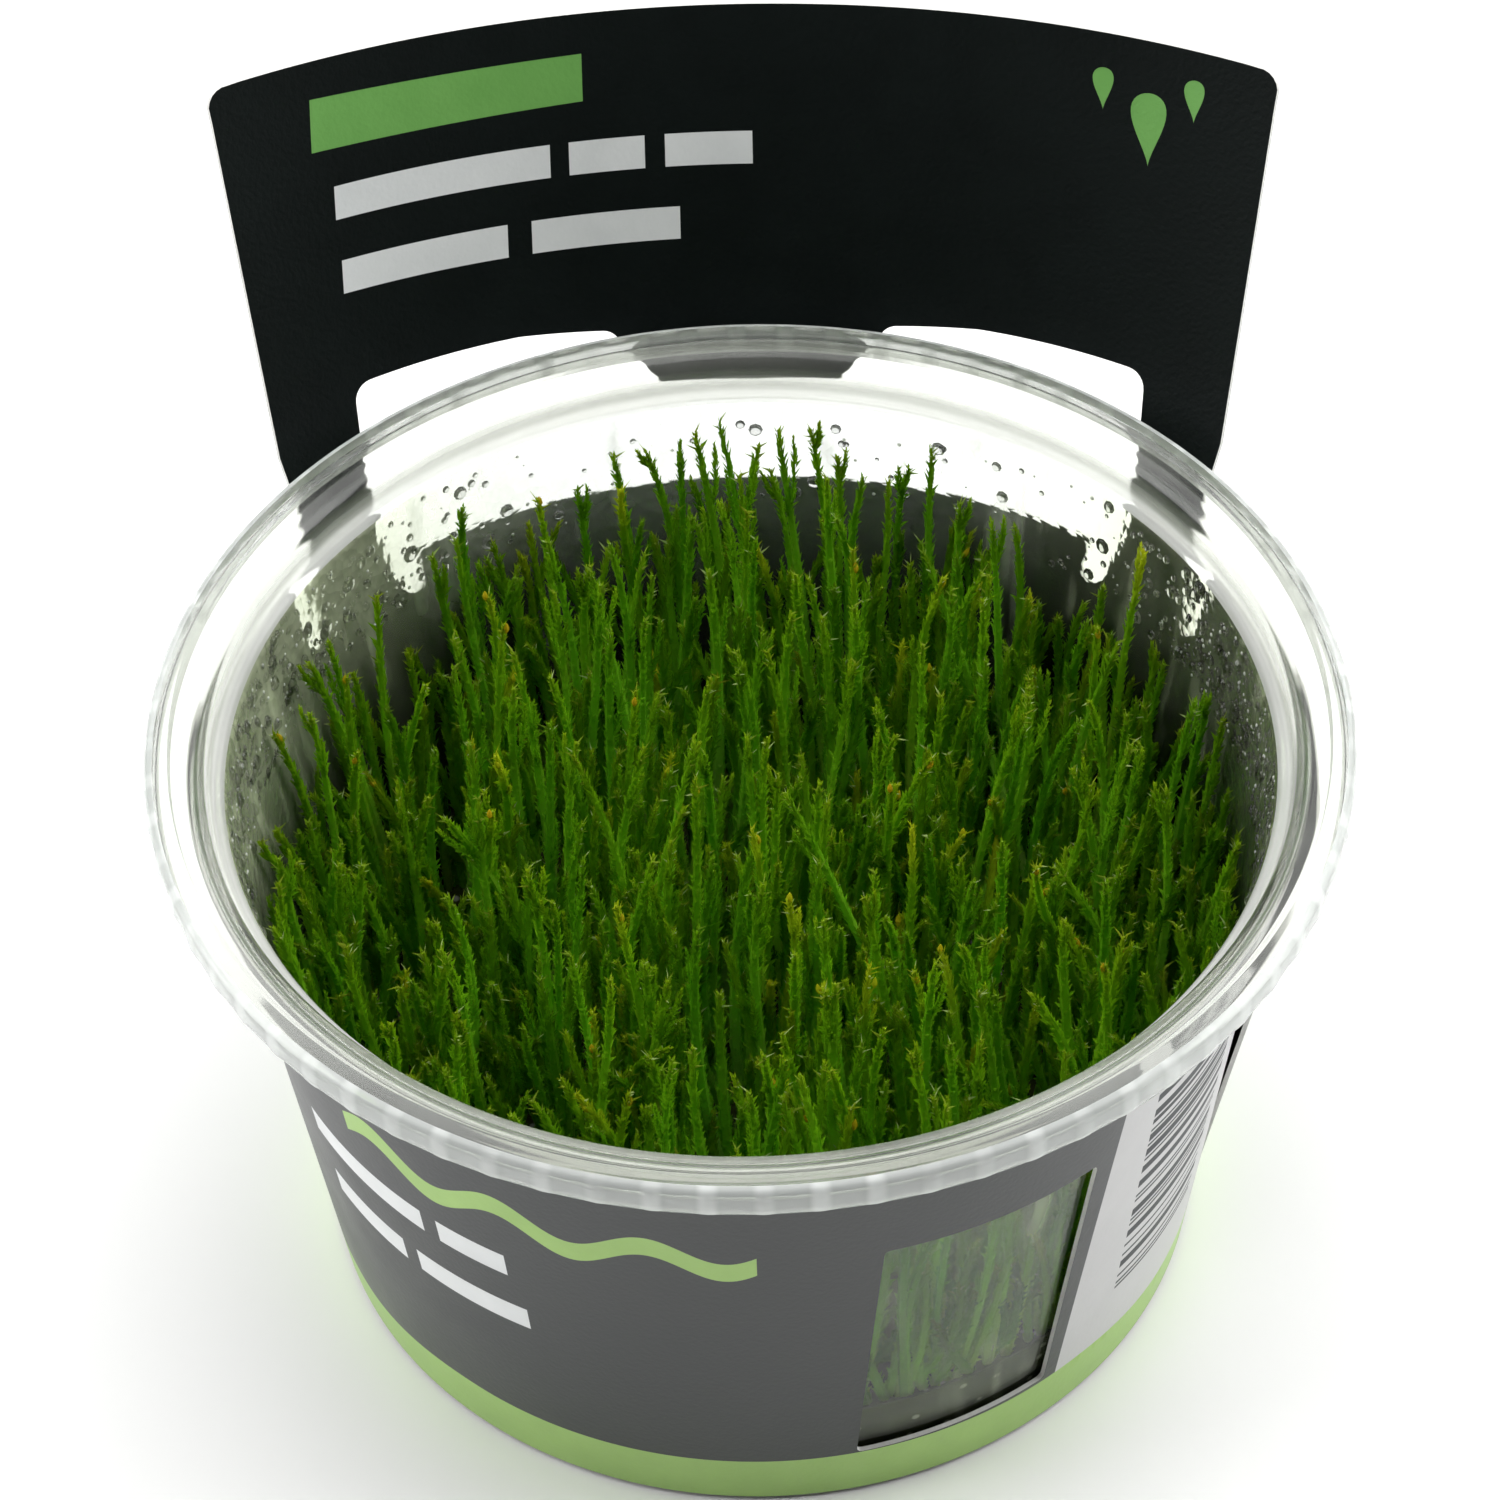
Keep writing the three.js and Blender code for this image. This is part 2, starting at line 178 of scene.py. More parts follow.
# The cup is one thin injection-moulded shell of clear polypropylene. It tapers to a foot ring,
# and its stepped rim has a flat land for the lid, a rolled edge and fine ribs under the edge.
def eased(corners, steps=4):
    """Rounds each corner (r, z, radius) of a profile: the two sides are cut back by the radius, or
    by 0.45 of a short side, and a quadratic curve with its handle at the corner joins the cuts."""
    corners = np.array([(*c, 0) if len(c) == 2 else c for c in corners], float)
    out = []
    for i, (r, z, radius) in enumerate(corners):
        here = np.array([r, z])
        if not radius or i in (0, len(corners) - 1):
            out.append(here[None])
            continue
        to_last, to_next = corners[i - 1, :2] - here, corners[i + 1, :2] - here
        reach = [min(radius, 0.45 * np.hypot(*side)) / np.hypot(*side)
                 for side in (to_last, to_next)]
        start, end = here + to_last * reach[0], here + to_next * reach[1]
        t = np.linspace(0, 1, steps + 1)[:, None]
        out.append((1 - t) ** 2 * start + 2 * t * (1 - t) * here + t ** 2 * end)
    return np.vstack(out)


def turned(profile, sides, relief=None):
    """Carries a profile (r, z) round the axis: x = r sin t, y = r cos t. The profile starts and
    ends on the axis, and relief(t, r, z) gives what is added to the radius."""
    t = np.arange(sides) * (2 * np.pi / sides)
    ring = profile[1:-1]
    r, z = np.repeat(ring[:, :1], sides, 1), np.repeat(ring[:, 1:], sides, 1)
    if relief:
        r = r + relief(t[None], r, z)
    wall = np.stack([r * np.sin(t), r * np.cos(t), z], -1).reshape(-1, 3)
    points = np.vstack([wall, [(0, 0, profile[0, 1]), (0, 0, profile[-1, 1])]])
    rows, i = len(ring), np.arange(sides)
    j = (i + 1) % sides
    k = np.arange(rows - 1)[:, None] * sides
    quads = np.stack([k + i, k + sides + i, k + sides + j, k + j], -1).reshape(-1, 4)
    low, high, end = len(wall), len(wall) + 1, (rows - 1) * sides
    fans = np.vstack([np.stack([np.full(sides, low), i, j], -1),
                      np.stack([np.full(sides, high), end + j, end + i], -1)])
    triangles = np.vstack([quads[:, [0, 1, 2]], quads[:, [0, 2, 3]], fans])
    return points, triangles


foot_radius = 37.75
cone = 0.134
wall_thick = 0.8


def wall_outside(z):
    """The wall's outer radius at height z: the foot's radius and a steady share of the height."""
    return foot_radius + cone * z


def wall_inside(z):
    """The wall's inner radius at height z: the outer one less the wall's thickness."""
    return wall_outside(z) - wall_thick


# The shell's section: from under the floor's middle out to the foot ring, up the outside, round
# the rim's land and rolled edge, and down the inside to the floor's middle.
cup_profile = eased([
    (0, 1.0), (33.6, 1.0, 0.6), (34.4, 0, 0.4), (35.9, 0, 0.5), (37.0, 0.35, 0.5), (37.7, 1.2, 0.6),
    (wall_outside(1.8), 1.8, 0.3), (wall_outside(12), 12), (wall_outside(30), 30),
    (wall_outside(51.0), 51.0, 0.5), (45.9, 51.6, 0.5), (46.4, 54.0, 0.4), (47.0, 54.6, 0.4),
    (49.2, 54.7, 0.3), (49.6, 54.3, 0.3), (49.5, 52.9, 0.3), (49.8, 52.6, 0.2), (50.2, 52.8, 0.2),
    (50.45, 53.6, 0.3), (50.5, 55.0, 0.4), (50.2, 55.55, 0.3), (49.5, 55.8, 0.3),
    (48.4, 55.8, 0.25), (48.1, 55.4, 0.25), (46.9, 55.4, 0.4), (46.1, 55.1, 0.5),
    (45.55, 54.3, 0.5), (45.2, 52.5, 0.3), (44.9, 52.2, 0.3), (44.3, 52.15, 0.3),
    (wall_inside(51.4), 51.4, 0.3), (wall_inside(30), 30), (wall_inside(12), 12),
    (wall_inside(3.4), 3.4, 0.5), (36.9, 2.5, 0.6), (36.0, 2.0, 0.5), (34.9, 1.9, 0.5), (0, 1.9)])
cup_ribs = 72
rib_depth = 0.14


def rim_ribs(t, r, z):
    """Soft upright ribs on the rolled edge's skirt, 4.4 mm apart: each is a narrow crest, the
    fourth power of a cosine, and the skirt lies back by the ribs' depth between them."""
    skirt = (r > 50.1) & (z > 52.7) & (z < 55.2)
    return np.where(skirt, -rib_depth + rib_depth * np.cos(cup_ribs * t / 2) ** 4, 0.0)


cup_points, cup_faces = turned(cup_profile, 9 * cup_ribs, rim_ribs)

# Clear moulded polypropylene: glossy and nearly colourless, with faint flow marks that make what
# is seen through the wall swim a little.
clear, tree, shader = new_material(
    "clear_moulded_polypropylene", Base_Color=linear("#f6f9f9"), Roughness=0.05, IOR=1.34,
    Specular_IOR_Level=0.2, Transmission_Weight=1.0)
place = add(tree, "ShaderNodeTexCoord").outputs["Object"]
flow = add(tree, "ShaderNodeTexNoise", {"Vector": place, "Scale": 90.0, "Detail": 2.0})
ripple = add(tree, "ShaderNodeBump", {"Height": flow.outputs["Fac"], "Strength": 0.06,
                                      "Distance": 0.001})
tree.links.new(ripple.outputs["Normal"], shader.inputs["Normal"])

# The wall's inside is the same plastic under breath. The fog is patchy, thickens upwards and to
# the left and has run down in streaks, and its dewy grain blurs what is behind. Its base colour
# holds
# painted light: green at the sides for the moss's light on it, and white at the back. A painted
# reflection, a thin whitish film, dims all but a clear strip at the right of the front window.
fogged, tree, shader = new_material(
    "fogged_inside_of_polypropylene", Base_Color=linear("#dfe8c4"), Roughness=0.12, IOR=1.26,
    Specular_IOR_Level=0.2, Transmission_Weight=0.85)
place = add(tree, "ShaderNodeTexCoord").outputs["Object"]
level = add(tree, "ShaderNodeSeparateXYZ", {"Vector": place})
breath = add(tree, "ShaderNodeTexNoise", {"Vector": place, "Scale": 110.0, "Detail": 4.0,
                                          "Roughness": 0.65})
blotch = add(tree, "ShaderNodeMapRange", {"Value": breath.outputs["Fac"], "From Min": 0.36,
                                          "From Max": 0.64, "To Min": 0.38, "To Max": 0.78})
rise = add(tree, "ShaderNodeMapRange", {"Value": level.outputs["Z"], "From Min": 0.031,
                                        "From Max": 0.046, "To Min": 0.02, "To Max": 0.38})
side = add(tree, "ShaderNodeMapRange", {"Value": level.outputs["X"], "From Min": -0.035,
                                        "From Max": 0.035, "To Min": 1.2, "To Max": 0.4})
cold = add(tree, "ShaderNodeMath", {0: rise.outputs["Result"], 1: side.outputs["Result"]},
           operation="MULTIPLY")
behind = add(tree, "ShaderNodeMapRange", {"Value": level.outputs["Y"], "From Min": 0.022,
                                          "From Max": 0.034})
# Painted light: the base colour is green, as if lit by the moss, and turns white towards the back.
painted_moss_light_tint = add(tree, "ShaderNodeMix", {"Factor": behind.outputs["Result"], "A": linear("#dfe8c4"),
                                    "B": linear("#f8faf5")}, data_type="RGBA")
tree.links.new(painted_moss_light_tint.outputs["Result"], shader.inputs["Base Color"])
tall = add(tree, "ShaderNodeMapping", {"Vector": place, "Scale": (330.0, 330.0, 45.0)})
runs = add(tree, "ShaderNodeTexNoise", {"Vector": tall.outputs["Vector"], "Scale": 1.0,
                                        "Detail": 3.0})
run = add(tree, "ShaderNodeMapRange", {"Value": runs.outputs["Fac"], "From Min": 0.56,
                                       "From Max": 0.74, "To Min": 0.0, "To Max": 0.3})
# Painted reflection: a thin whitish film left of a slanting line stands in for the studio's
# reflection in the front window. Right of the line a clear strip stays.
across = add(tree, "ShaderNodeMath", {0: level.outputs["Z"], 1: -0.075, 2: level.outputs["X"]},
             operation="MULTIPLY_ADD")
film = add(tree, "ShaderNodeMapRange", {"Value": across.outputs[0], "From Min": 0.0206,
                                        "From Max": 0.021, "To Min": 0.06, "To Max": 0.0})
runs_and_painted_reflection = add(tree, "ShaderNodeMath", {0: film.outputs["Result"], 1: run.outputs["Result"]})
veil = add(tree, "ShaderNodeMath", {0: blotch.outputs["Result"], 1: cold.outputs[0],
                                    2: runs_and_painted_reflection.outputs[0]}, operation="MULTIPLY_ADD")
passed = add(tree, "ShaderNodeMath", {0: 1.0, 1: veil.outputs[0]}, operation="SUBTRACT")
tree.links.new(passed.outputs[0], shader.inputs["Transmission Weight"])
beads = add(tree, "ShaderNodeTexVoronoi", {"Vector": place, "Scale": 900.0}, feature="F1")
dewed = add(tree, "ShaderNodeBump", {"Height": beads.outputs["Distance"], "Distance": 0.0003,
                                     "Strength": rise.outputs["Result"]})
tree.links.new(dewed.outputs["Normal"], shader.inputs["Normal"])

# The rolled edge is thicker plastic that looks milky. Its diffuse white is partly the plastic's own
# and partly painted brightness of the white floor that it refracts, and a painted highlight lies as
# a pale tick on each rib.
milky, tree, shader = new_material(
    "milky_rolled_rim", Base_Color=linear("#e2e6e3"), Roughness=0.16, IOR=1.42,
    Transmission_Weight=0.5)
place = add(tree, "ShaderNodeTexCoord").outputs["Object"]
haze = add(tree, "ShaderNodeTexNoise", {"Vector": place, "Scale": 150.0, "Detail": 3.0})
seen = add(tree, "ShaderNodeMapRange", {"Value": haze.outputs["Fac"], "From Min": 0.35,
                                        "From Max": 0.65, "To Min": 0.05, "To Max": 0.32})
level = add(tree, "ShaderNodeSeparateXYZ", {"Vector": place})
ahead = add(tree, "ShaderNodeMath", {0: level.outputs["Y"], 1: -cup_axis[1] / 1000})
turn = add(tree, "ShaderNodeMath", {0: level.outputs["X"], 1: ahead.outputs[0]},
           operation="ARCTAN2")
wave = add(tree, "ShaderNodeMath", {0: turn.outputs[0], 1: cup_ribs}, operation="MULTIPLY")
crest = add(tree, "ShaderNodeMath", {0: wave.outputs[0]}, operation="COSINE")
# Painted highlight: each rib's crest turns milky white, as if it caught the light.
painted_rib_highlight = add(tree, "ShaderNodeMapRange", {"Value": crest.outputs[0], "From Min": 0.1,
                                        "From Max": 1.0}, interpolation_type="SMOOTHSTEP")
white = add(tree, "ShaderNodeMath", {0: painted_rib_highlight.outputs["Result"], 1: seen.outputs["Result"]},
            operation="MULTIPLY")
passed = add(tree, "ShaderNodeMath", {0: 0.5, 1: white.outputs[0]}, operation="SUBTRACT")
tree.links.new(passed.outputs[0], shader.inputs["Transmission Weight"])

# The land for the lid is faintly scuffed, and the shelf under it is made whiter as a painted
# highlight: a soft pale ring where the wall's top catches the light.
scuffed_land_and_highlight, tree, shader = new_material(
    "rim_land_scuffs_painted_highlight", Base_Color=linear("#f3f5ef"), Roughness=0.1, IOR=1.38,
    Transmission_Weight=0.9)
place = add(tree, "ShaderNodeTexCoord").outputs["Object"]
drawn = add(tree, "ShaderNodeTexNoise", {"Vector": place, "Scale": 60.0, "Detail": 3.0})
scuffed = add(tree, "ShaderNodeMapRange", {"Value": drawn.outputs["Fac"], "From Min": 0.3,
                                           "From Max": 0.7, "To Min": 0.9, "To Max": 1.0})
level = add(tree, "ShaderNodeSeparateXYZ", {"Vector": place})
# Painted highlight: below the land the shelf has up to 0.42 less transmission, so it shows whiter.
painted_shelf_highlight = add(tree, "ShaderNodeMapRange", {"Value": level.outputs["Z"], "From Min": 0.0523,
                                         "From Max": 0.0538, "To Min": 0.42, "To Max": 0.0})
passed = add(tree, "ShaderNodeMath", {0: scuffed.outputs["Result"], 1: painted_shelf_highlight.outputs["Result"]},
             operation="SUBTRACT")
tree.links.new(passed.outputs[0], shader.inputs["Transmission Weight"])

# Each face of the shell takes the finish of its place, by its middle's radius and height.
cup = new_piece("clear_cup", cup_points, cup_faces, [clear, fogged, milky, scuffed_land_and_highlight])
middle = cup_points[cup_faces].mean(1)
from_axis, height = np.hypot(*middle.T[:2]), middle[:, 2]
floor_top, wall_top, rim_foot = 3.0, 51.65, 51.25
shelf_inside, land_outside = 44.0, 49.67
on_inside = (from_axis < wall_inside(height) + 0.12) & (height > floor_top) & (height < wall_top)
on_skirt = (from_axis > land_outside) & (height > rim_foot)
on_land = (from_axis > shelf_inside) & (height > rim_foot) & ~on_skirt
cup.data.polygons.foreach_set(
    "material_index", (on_inside + 2 * on_skirt + 3 * on_land).astype(np.int32))
cup.data.set_sharp_from_angle(angle=math.radians(50))
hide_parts("cup")
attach(cup, "root")

# The gel is agar with nutrients, poured in hot and set: murky, wet and olive-grey. It creeps up
# the wall by 0.9 mm, and small bubbles are caught in it.
gel_level = 10.8
creeps_to = 11.7


def gel_edge(z):
    """The gel's radius at height z: 0.3 mm inside the cup's wall."""
    return wall_inside(z) - 0.3


gel_profile = eased([
    (0, 2.2), (34.9, 2.2, 0.5), (35.9, 2.35, 0.5), (36.5, 2.8, 0.5), (gel_edge(3.6), 3.6, 0.4),
    (gel_edge(7), 7), (gel_edge(creeps_to), creeps_to, 0.1),
    (gel_edge(creeps_to) - 0.5, gel_level + 0.45, 0.3),
    (gel_edge(creeps_to) - 1.6, gel_level + 0.15, 0.6), (35, gel_level, 0.5), (20, gel_level),
    (0, gel_level)])
gel_points, gel_faces = turned(gel_profile, 180)

# Set agar gel: murky olive with darker clouds and pale specks of caught air, and a dull wet sheen.
agar, tree, shader = new_material(
    "set_agar_gel", Base_Color=linear("#454c26"), Roughness=0.3, IOR=1.34,
    Specular_IOR_Level=0.1)
place = add(tree, "ShaderNodeTexCoord").outputs["Object"]
murk = add(tree, "ShaderNodeTexNoise", {"Vector": place, "Scale": 160.0, "Detail": 5.0})
specks = add(tree, "ShaderNodeTexVoronoi", {"Vector": place, "Scale": 520.0}, feature="F1")
base = add(tree, "ShaderNodeValToRGB", {"Fac": murk.outputs["Fac"]}, stops=[
    (0.3, linear("#20260c")), (0.55, linear("#454c26")), (0.8, linear("#6f7256"))])
white = add(tree, "ShaderNodeValToRGB", {"Fac": specks.outputs["Distance"]}, stops=[
    (0.12, (1, 1, 1, 1)), (0.22, (0, 0, 0, 1))])
mixed = add(tree, "ShaderNodeMix", {"Factor": white.outputs["Color"], "A": base.outputs["Color"],
                                    "B": linear("#b9bbae")}, data_type="RGBA")
tree.links.new(mixed.outputs["Result"], shader.inputs["Base Color"])
gel = new_piece("agar_gel", gel_points, gel_faces, [agar])
gel.data.set_sharp_from_angle(angle=math.radians(60))
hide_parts("gel")
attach(gel, "root")


# The moss is a cushion of soft upright shoots rooted on the gel, in loose clumps with deep gaps.
# Each is a thin stem wrapped in small pointed leaves that lie along it like a rope. Lower shoots,
# side twigs, shoots along the wall and a few golden buds stand among the tall ones.
moss_rings = 25
ring_gap = 1.67
root_level = 10.6
root_radius = 36.8
from_wall = 0.9


def smooth_step(x, low, high):
    """0 below low, 1 above high, and an s-curve 3t^2 - 2t^3 between them."""
    t = np.clip((x - low) / (high - low), 0, 1)
    return t * t * (3 - 2 * t)


def canopy(x, y):
    """Height of the cushion's top: a gentle slope that steepens towards the back, a swell, and a
    low edge all round."""
    swell = np.sin(x * 0.19 + 1.3) * np.cos(y * 0.17 - 0.6)
    rise = 0.03 * y + 3.0 * smooth_step(y, 8, 36)
    return 45.3 + rise + 0.9 * swell - 1.1 * smooth_step(np.hypot(x, y), 34, 42)


def scattered(n, row):
    """A fixed chance from 0 to 1 for number n: what is left of a large sine past its whole part."""
    value = np.sin(n * 12.9898 + row * 78.233) * 43758.5453
    return value - np.floor(value)


# The tall shoots' places and heights, most of them at the back, and the most that a shoot at the
# very front reaches.
tall_places = ((-0.5, 37.8, 53.4), (-4.0, 37.2, 51.8), (-18.5, 34.0, 51.3), (20.5, 33.0, 49.8),
               (33.5, 21.5, 51.6), (-33.0, 21.0, 50.3), (-38.0, 8.5, 49.6), (38.3, 8.0, 49.8),
               (13.0, 37.0, 49.0), (-11.5, 38.0, 49.0), (5.5, 38.5, 48.6))
front_height = 47.0


def shoot_tips():
    """Tips of the main shoots. Rings of points are ring_gap apart, ring q with 2 pi q points, and
    a shoot stands at every other point of every other ring, up to 3 mm over the canopy or up to
    10 mm under it. The shoots nearest to the tall ones' places have their own heights."""
    number, tips = 0, []
    for q in range(1, moss_rings + 1):
        count = round(2 * math.pi * q)
        n = number + np.arange(count)
        turn = 2 * math.pi * (np.arange(count) + 0.6 * scattered(n, 1)) / count
        radius = ring_gap * (q - 0.6 * scattered(n, 2))
        if q % 2:
            x, y = (radius * np.sin(turn))[::2], (radius * np.cos(turn))[::2]
            tips.append(np.stack([x, y, canopy(x, y) + 3 - 13 * scattered(n, 3)[::2] ** 1.6], -1))
        number += count
    tips = np.vstack(tips)
    for x, y, z in tall_places:
        tips[np.argmin(np.hypot(tips[:, 0] - x, tips[:, 1] - y)), 2] = z
    front = tips[:, 1] < -34
    tips[front, 2] = np.minimum(tips[front, 2], front_height)
    return tips


rng = np.random.default_rng(11)
main_tips = shoot_tips()
mains = len(main_tips)
shorts = 660
cushion_radius = 41.0
spread = cushion_radius * np.sqrt(rng.uniform(0, 1, shorts))
turn = rng.uniform(0, 2 * np.pi, shorts)
low_x, low_y = spread * np.sin(turn), spread * np.cos(turn)
low_tips = np.stack([low_x, low_y, canopy(low_x, low_y) - rng.uniform(6, 21, shorts)], -1)
by_wall = 130
wall_radius = 42
turn = 2 * np.pi * (np.arange(by_wall) + rng.uniform(0, 0.8, by_wall)) / by_wall
wall_tips = np.stack([wall_radius * np.sin(turn), wall_radius * np.cos(turn),
                      rng.uniform(19, 45, by_wall)], -1)
# Four in ten of the main shoots are sunk by 2.5 to 8 mm, and all are pulled towards the nearest
# clump's middle, less so near the wall. The tallest ones stay where they are.
tallest = main_tips[:, 2] > 48.4
sunk = (rng.uniform(0, 1, mains) < 0.4) & ~tallest
main_tips[sunk, 2] -= rng.uniform(2.5, 8.0, sunk.sum())
clumps = 84
spread = cushion_radius * np.sqrt(rng.uniform(0, 1, clumps))
turn = rng.uniform(0, 2 * np.pi, clumps)
middles = np.stack([spread * np.sin(turn), spread * np.cos(turn)], -1)
apart = middles[None] - main_tips[:, None, :2]
nearest = apart[np.arange(mains), np.argmin((apart ** 2).sum(-1), 1)]
pull = rng.uniform(0.15, 0.55, mains) * ~tallest
pull *= 1 - 0.8 * smooth_step(np.hypot(main_tips[:, 0], main_tips[:, 1]), 33, 39)
main_tips[:, :2] += pull[:, None] * nearest
tip = np.vstack([main_tips, low_tips, wall_tips])
shoots = len(tip)
room = (wall_inside(tip[:, 2]) - from_wall) / np.hypot(tip[:, 0], tip[:, 1])
tip[:, :2] *= np.minimum(1, room)[:, None]

# Roots lie under the tips but for a common flow and a chance shift, and one shoot in six strays
# far. Each shoot then has its own bow, curl at the tip, length, chance and girth.
strayed = np.where(rng.uniform(0, 1, shoots) < 0.16, 6.0, 1.9)[:, None]
flow = np.stack([1.6 * np.sin(tip[:, 1] * 0.11 + 0.4) + 0.03 * tip[:, 0],
                 1.6 * np.sin(tip[:, 0] * 0.1 + 2.0) + 0.03 * tip[:, 1]], -1)
root = tip[:, :2] - flow - rng.normal(0, 1, (shoots, 2)) * strayed
root *= np.minimum(1, root_radius / np.hypot(root[:, 0], root[:, 1]))[:, None]
bow = rng.normal(0, 0.9, (shoots, 2))
curl = rng.normal(0, 0.7, (shoots, 2))
length = tip[:, 2] - root_level
chance = rng.uniform(0, 1, shoots)
girth = rng.uniform(0.75, 1.2, shoots)


def along(t, i):
    """Point on shoot i at t, 0 at the root and 1 at the tip: a straight rise with a half-sine bow
    to one side and a tip that curls away with the square of its last three tenths."""
    sway = np.sin(np.pi * t)[..., None] * bow[i]
    hook = (np.clip((t - 0.7) / 0.3, 0, 1) ** 2)[..., None] * curl[i]
    flat = root[i] + (tip[:, :2] - root)[i] * t[..., None] + sway + hook
    z = root_level + length[i] * t
    far = np.hypot(flat[..., 0], flat[..., 1])
    flat = flat * np.minimum(1, (wall_inside(z) - from_wall) / np.maximum(far, 1e-6))[..., None]
    return np.concatenate([flat, z[..., None]], -1)


def unit(v):
    """The vector at length one."""
    return v / np.maximum(np.linalg.norm(v, axis=-1, keepdims=True), 1e-9)


def stems(path, radius, tint, sides=3):
    """A tube of a few sides round each path [n, rings, 3] with the given radius at each ring,
    closed by a fan at both ends."""
    n, rings = path.shape[:2]
    t = unit(np.gradient(path, axis=1))
    e1 = unit(np.cross(t, [0.3, 1.0, 0.05]))
    e2 = np.cross(t, e1)
    a = np.arange(sides) * (2 * np.pi / sides)
    ring = path[:, :, None] + radius[..., None, None] * (
        np.cos(a)[:, None] * e1[:, :, None] + np.sin(a)[:, None] * e2[:, :, None])
    base = (np.arange(n) * rings * sides)[:, None, None]
    row = (np.arange(rings - 1) * sides)[None, :, None]
    i, j = np.arange(sides), (np.arange(sides) + 1) % sides
    quads = np.stack(np.broadcast_arrays(base + row + i, base + row + j, base + row + sides + j,
                                         base + row + sides + i), -1).reshape(-1, 4)
    fan = np.stack([np.zeros(sides - 2, int), np.arange(1, sides - 1), np.arange(2, sides)], -1)
    ends = np.vstack([(base + fan[:, ::-1]).reshape(-1, 3),
                      (base + (rings - 1) * sides + fan).reshape(-1, 3)])
    faces = np.vstack([quads[:, [0, 1, 2]], quads[:, [0, 2, 3]], ends])
    return ring.reshape(-1, 3), faces, np.repeat(tint.reshape(-1, 3), sides, axis=0)


def leaves(foot, t, out, size, angle, width, tint, flare):
    """Folded kite leaves: from the foot, a blade leaves the stem's direction t at an angle towards
    out, is widest at 0.42 of its length, where its edges fold back, and ends in a point that
    flares outwards."""
    side = np.cross(t, out)
    lift = unit(np.cos(angle)[..., None] * t + np.sin(angle)[..., None] * out)
    face = np.cross(side, lift)
    size = size[..., None]
    middle = foot + 0.42 * size * lift
    wing = side * (width[..., None] * size)
    tip = foot + size * lift + out * (flare[..., None] * size)
    points = np.stack([foot, middle + wing - 0.1 * size * face, tip,
                       middle - wing - 0.1 * size * face], -2).reshape(-1, 3)
    base = np.arange(len(points) // 4)[:, None] * 4
    faces = np.vstack([base + [0, 1, 2], base + [0, 2, 3]])
    tints = np.repeat(tint.reshape(-1, 3), 4, axis=0)
    # The point's tint is raised by 1, so the leaves of highest chance get a painted glint there.
    tints[2::4, 2] += 1.0
    return points, faces, tints


def leafy(path_at, size, m, own, s_at, leaf_size, lean, girth):
    """Leaves wrapped round paths: m places along each path from its foot to its tip, each leaf a
    turn of 127 degrees on from the last. size is each path's length and own its chance.
    path_at(t) gives points, s_at(t) the distance in mm from the whole shoot's tip, lean the
    leaf's angle off the stem and girth its foot's distance from the stem's middle."""
    n = len(own)
    t = np.repeat(np.linspace(0.0, 0.995, m)[None], n, 0)
    t = np.clip(t + rng.uniform(-0.4, 0.4, t.shape) / m, 0, 0.995)
    here = path_at(t)
    grow = unit(path_at(t + 0.01) - here)
    e1 = unit(np.cross(grow, [0.3, 1.0, 0.05]))
    e2 = np.cross(grow, e1)
    round_ = np.arange(m)[None] * 2.217 + own[:, None] * 6.28 + rng.normal(0, 0.25, t.shape)
    out = np.cos(round_)[..., None] * e1 + np.sin(round_)[..., None] * e2
    from_tip = size[:, None] * (1 - t)
    grown = leaf_size * (0.55 + 0.45 * smooth_step(from_tip, 0, 2.6))
    grown = grown * rng.uniform(0.8, 1.2, t.shape)
    angle = np.radians(lean * (0.7 + 0.3 * smooth_step(from_tip, 0.3, 3.0))
                       + rng.normal(0, 3, t.shape))
    flare = np.abs(rng.normal(0, 0.06, t.shape)) + 0.2 * (rng.uniform(0, 1, t.shape) < 0.1)
    tint = np.stack([s_at(t), np.repeat(own[:, None], m, 1), rng.uniform(0, 0.99, t.shape)], -1)
    foot = here + (girth * (1 - 0.5 * t ** 4))[..., None] * out
    return leaves(foot, grow, out, grown, angle, np.full(t.shape, 0.22), tint, flare)


def shoot_parts(i):
    """Stems and leaves of the shoots numbered i, as (points, faces, tints). A tint is the distance
    from the shoot's tip in mm, the shoot's own chance, and the leaf's chance, plus 1 at its point,
    where it gives the leaves of highest chance a painted glint. The stem's radius falls a little
    all the way and fast at the tip, with t to the 6th."""
    rings = 14
    t = np.repeat(np.linspace(0, 1, rings)[None], len(i), 0)
    own, size = chance[i], length[i]
    s_at = lambda t: size[:, None] * (1 - t)
    tint = np.stack([s_at(t), np.repeat(own[:, None], rings, 1), 0 * t], -1)
    at = lambda t: along(t, i[:, None])
    plump = girth[i][:, None]
    return [stems(at(t), plump * (0.5 - 0.12 * t - 0.28 * t ** 6), tint, 5),
            leafy(at, size, 170, own, s_at, 1.15, 14.0, 0.32 * plump)]


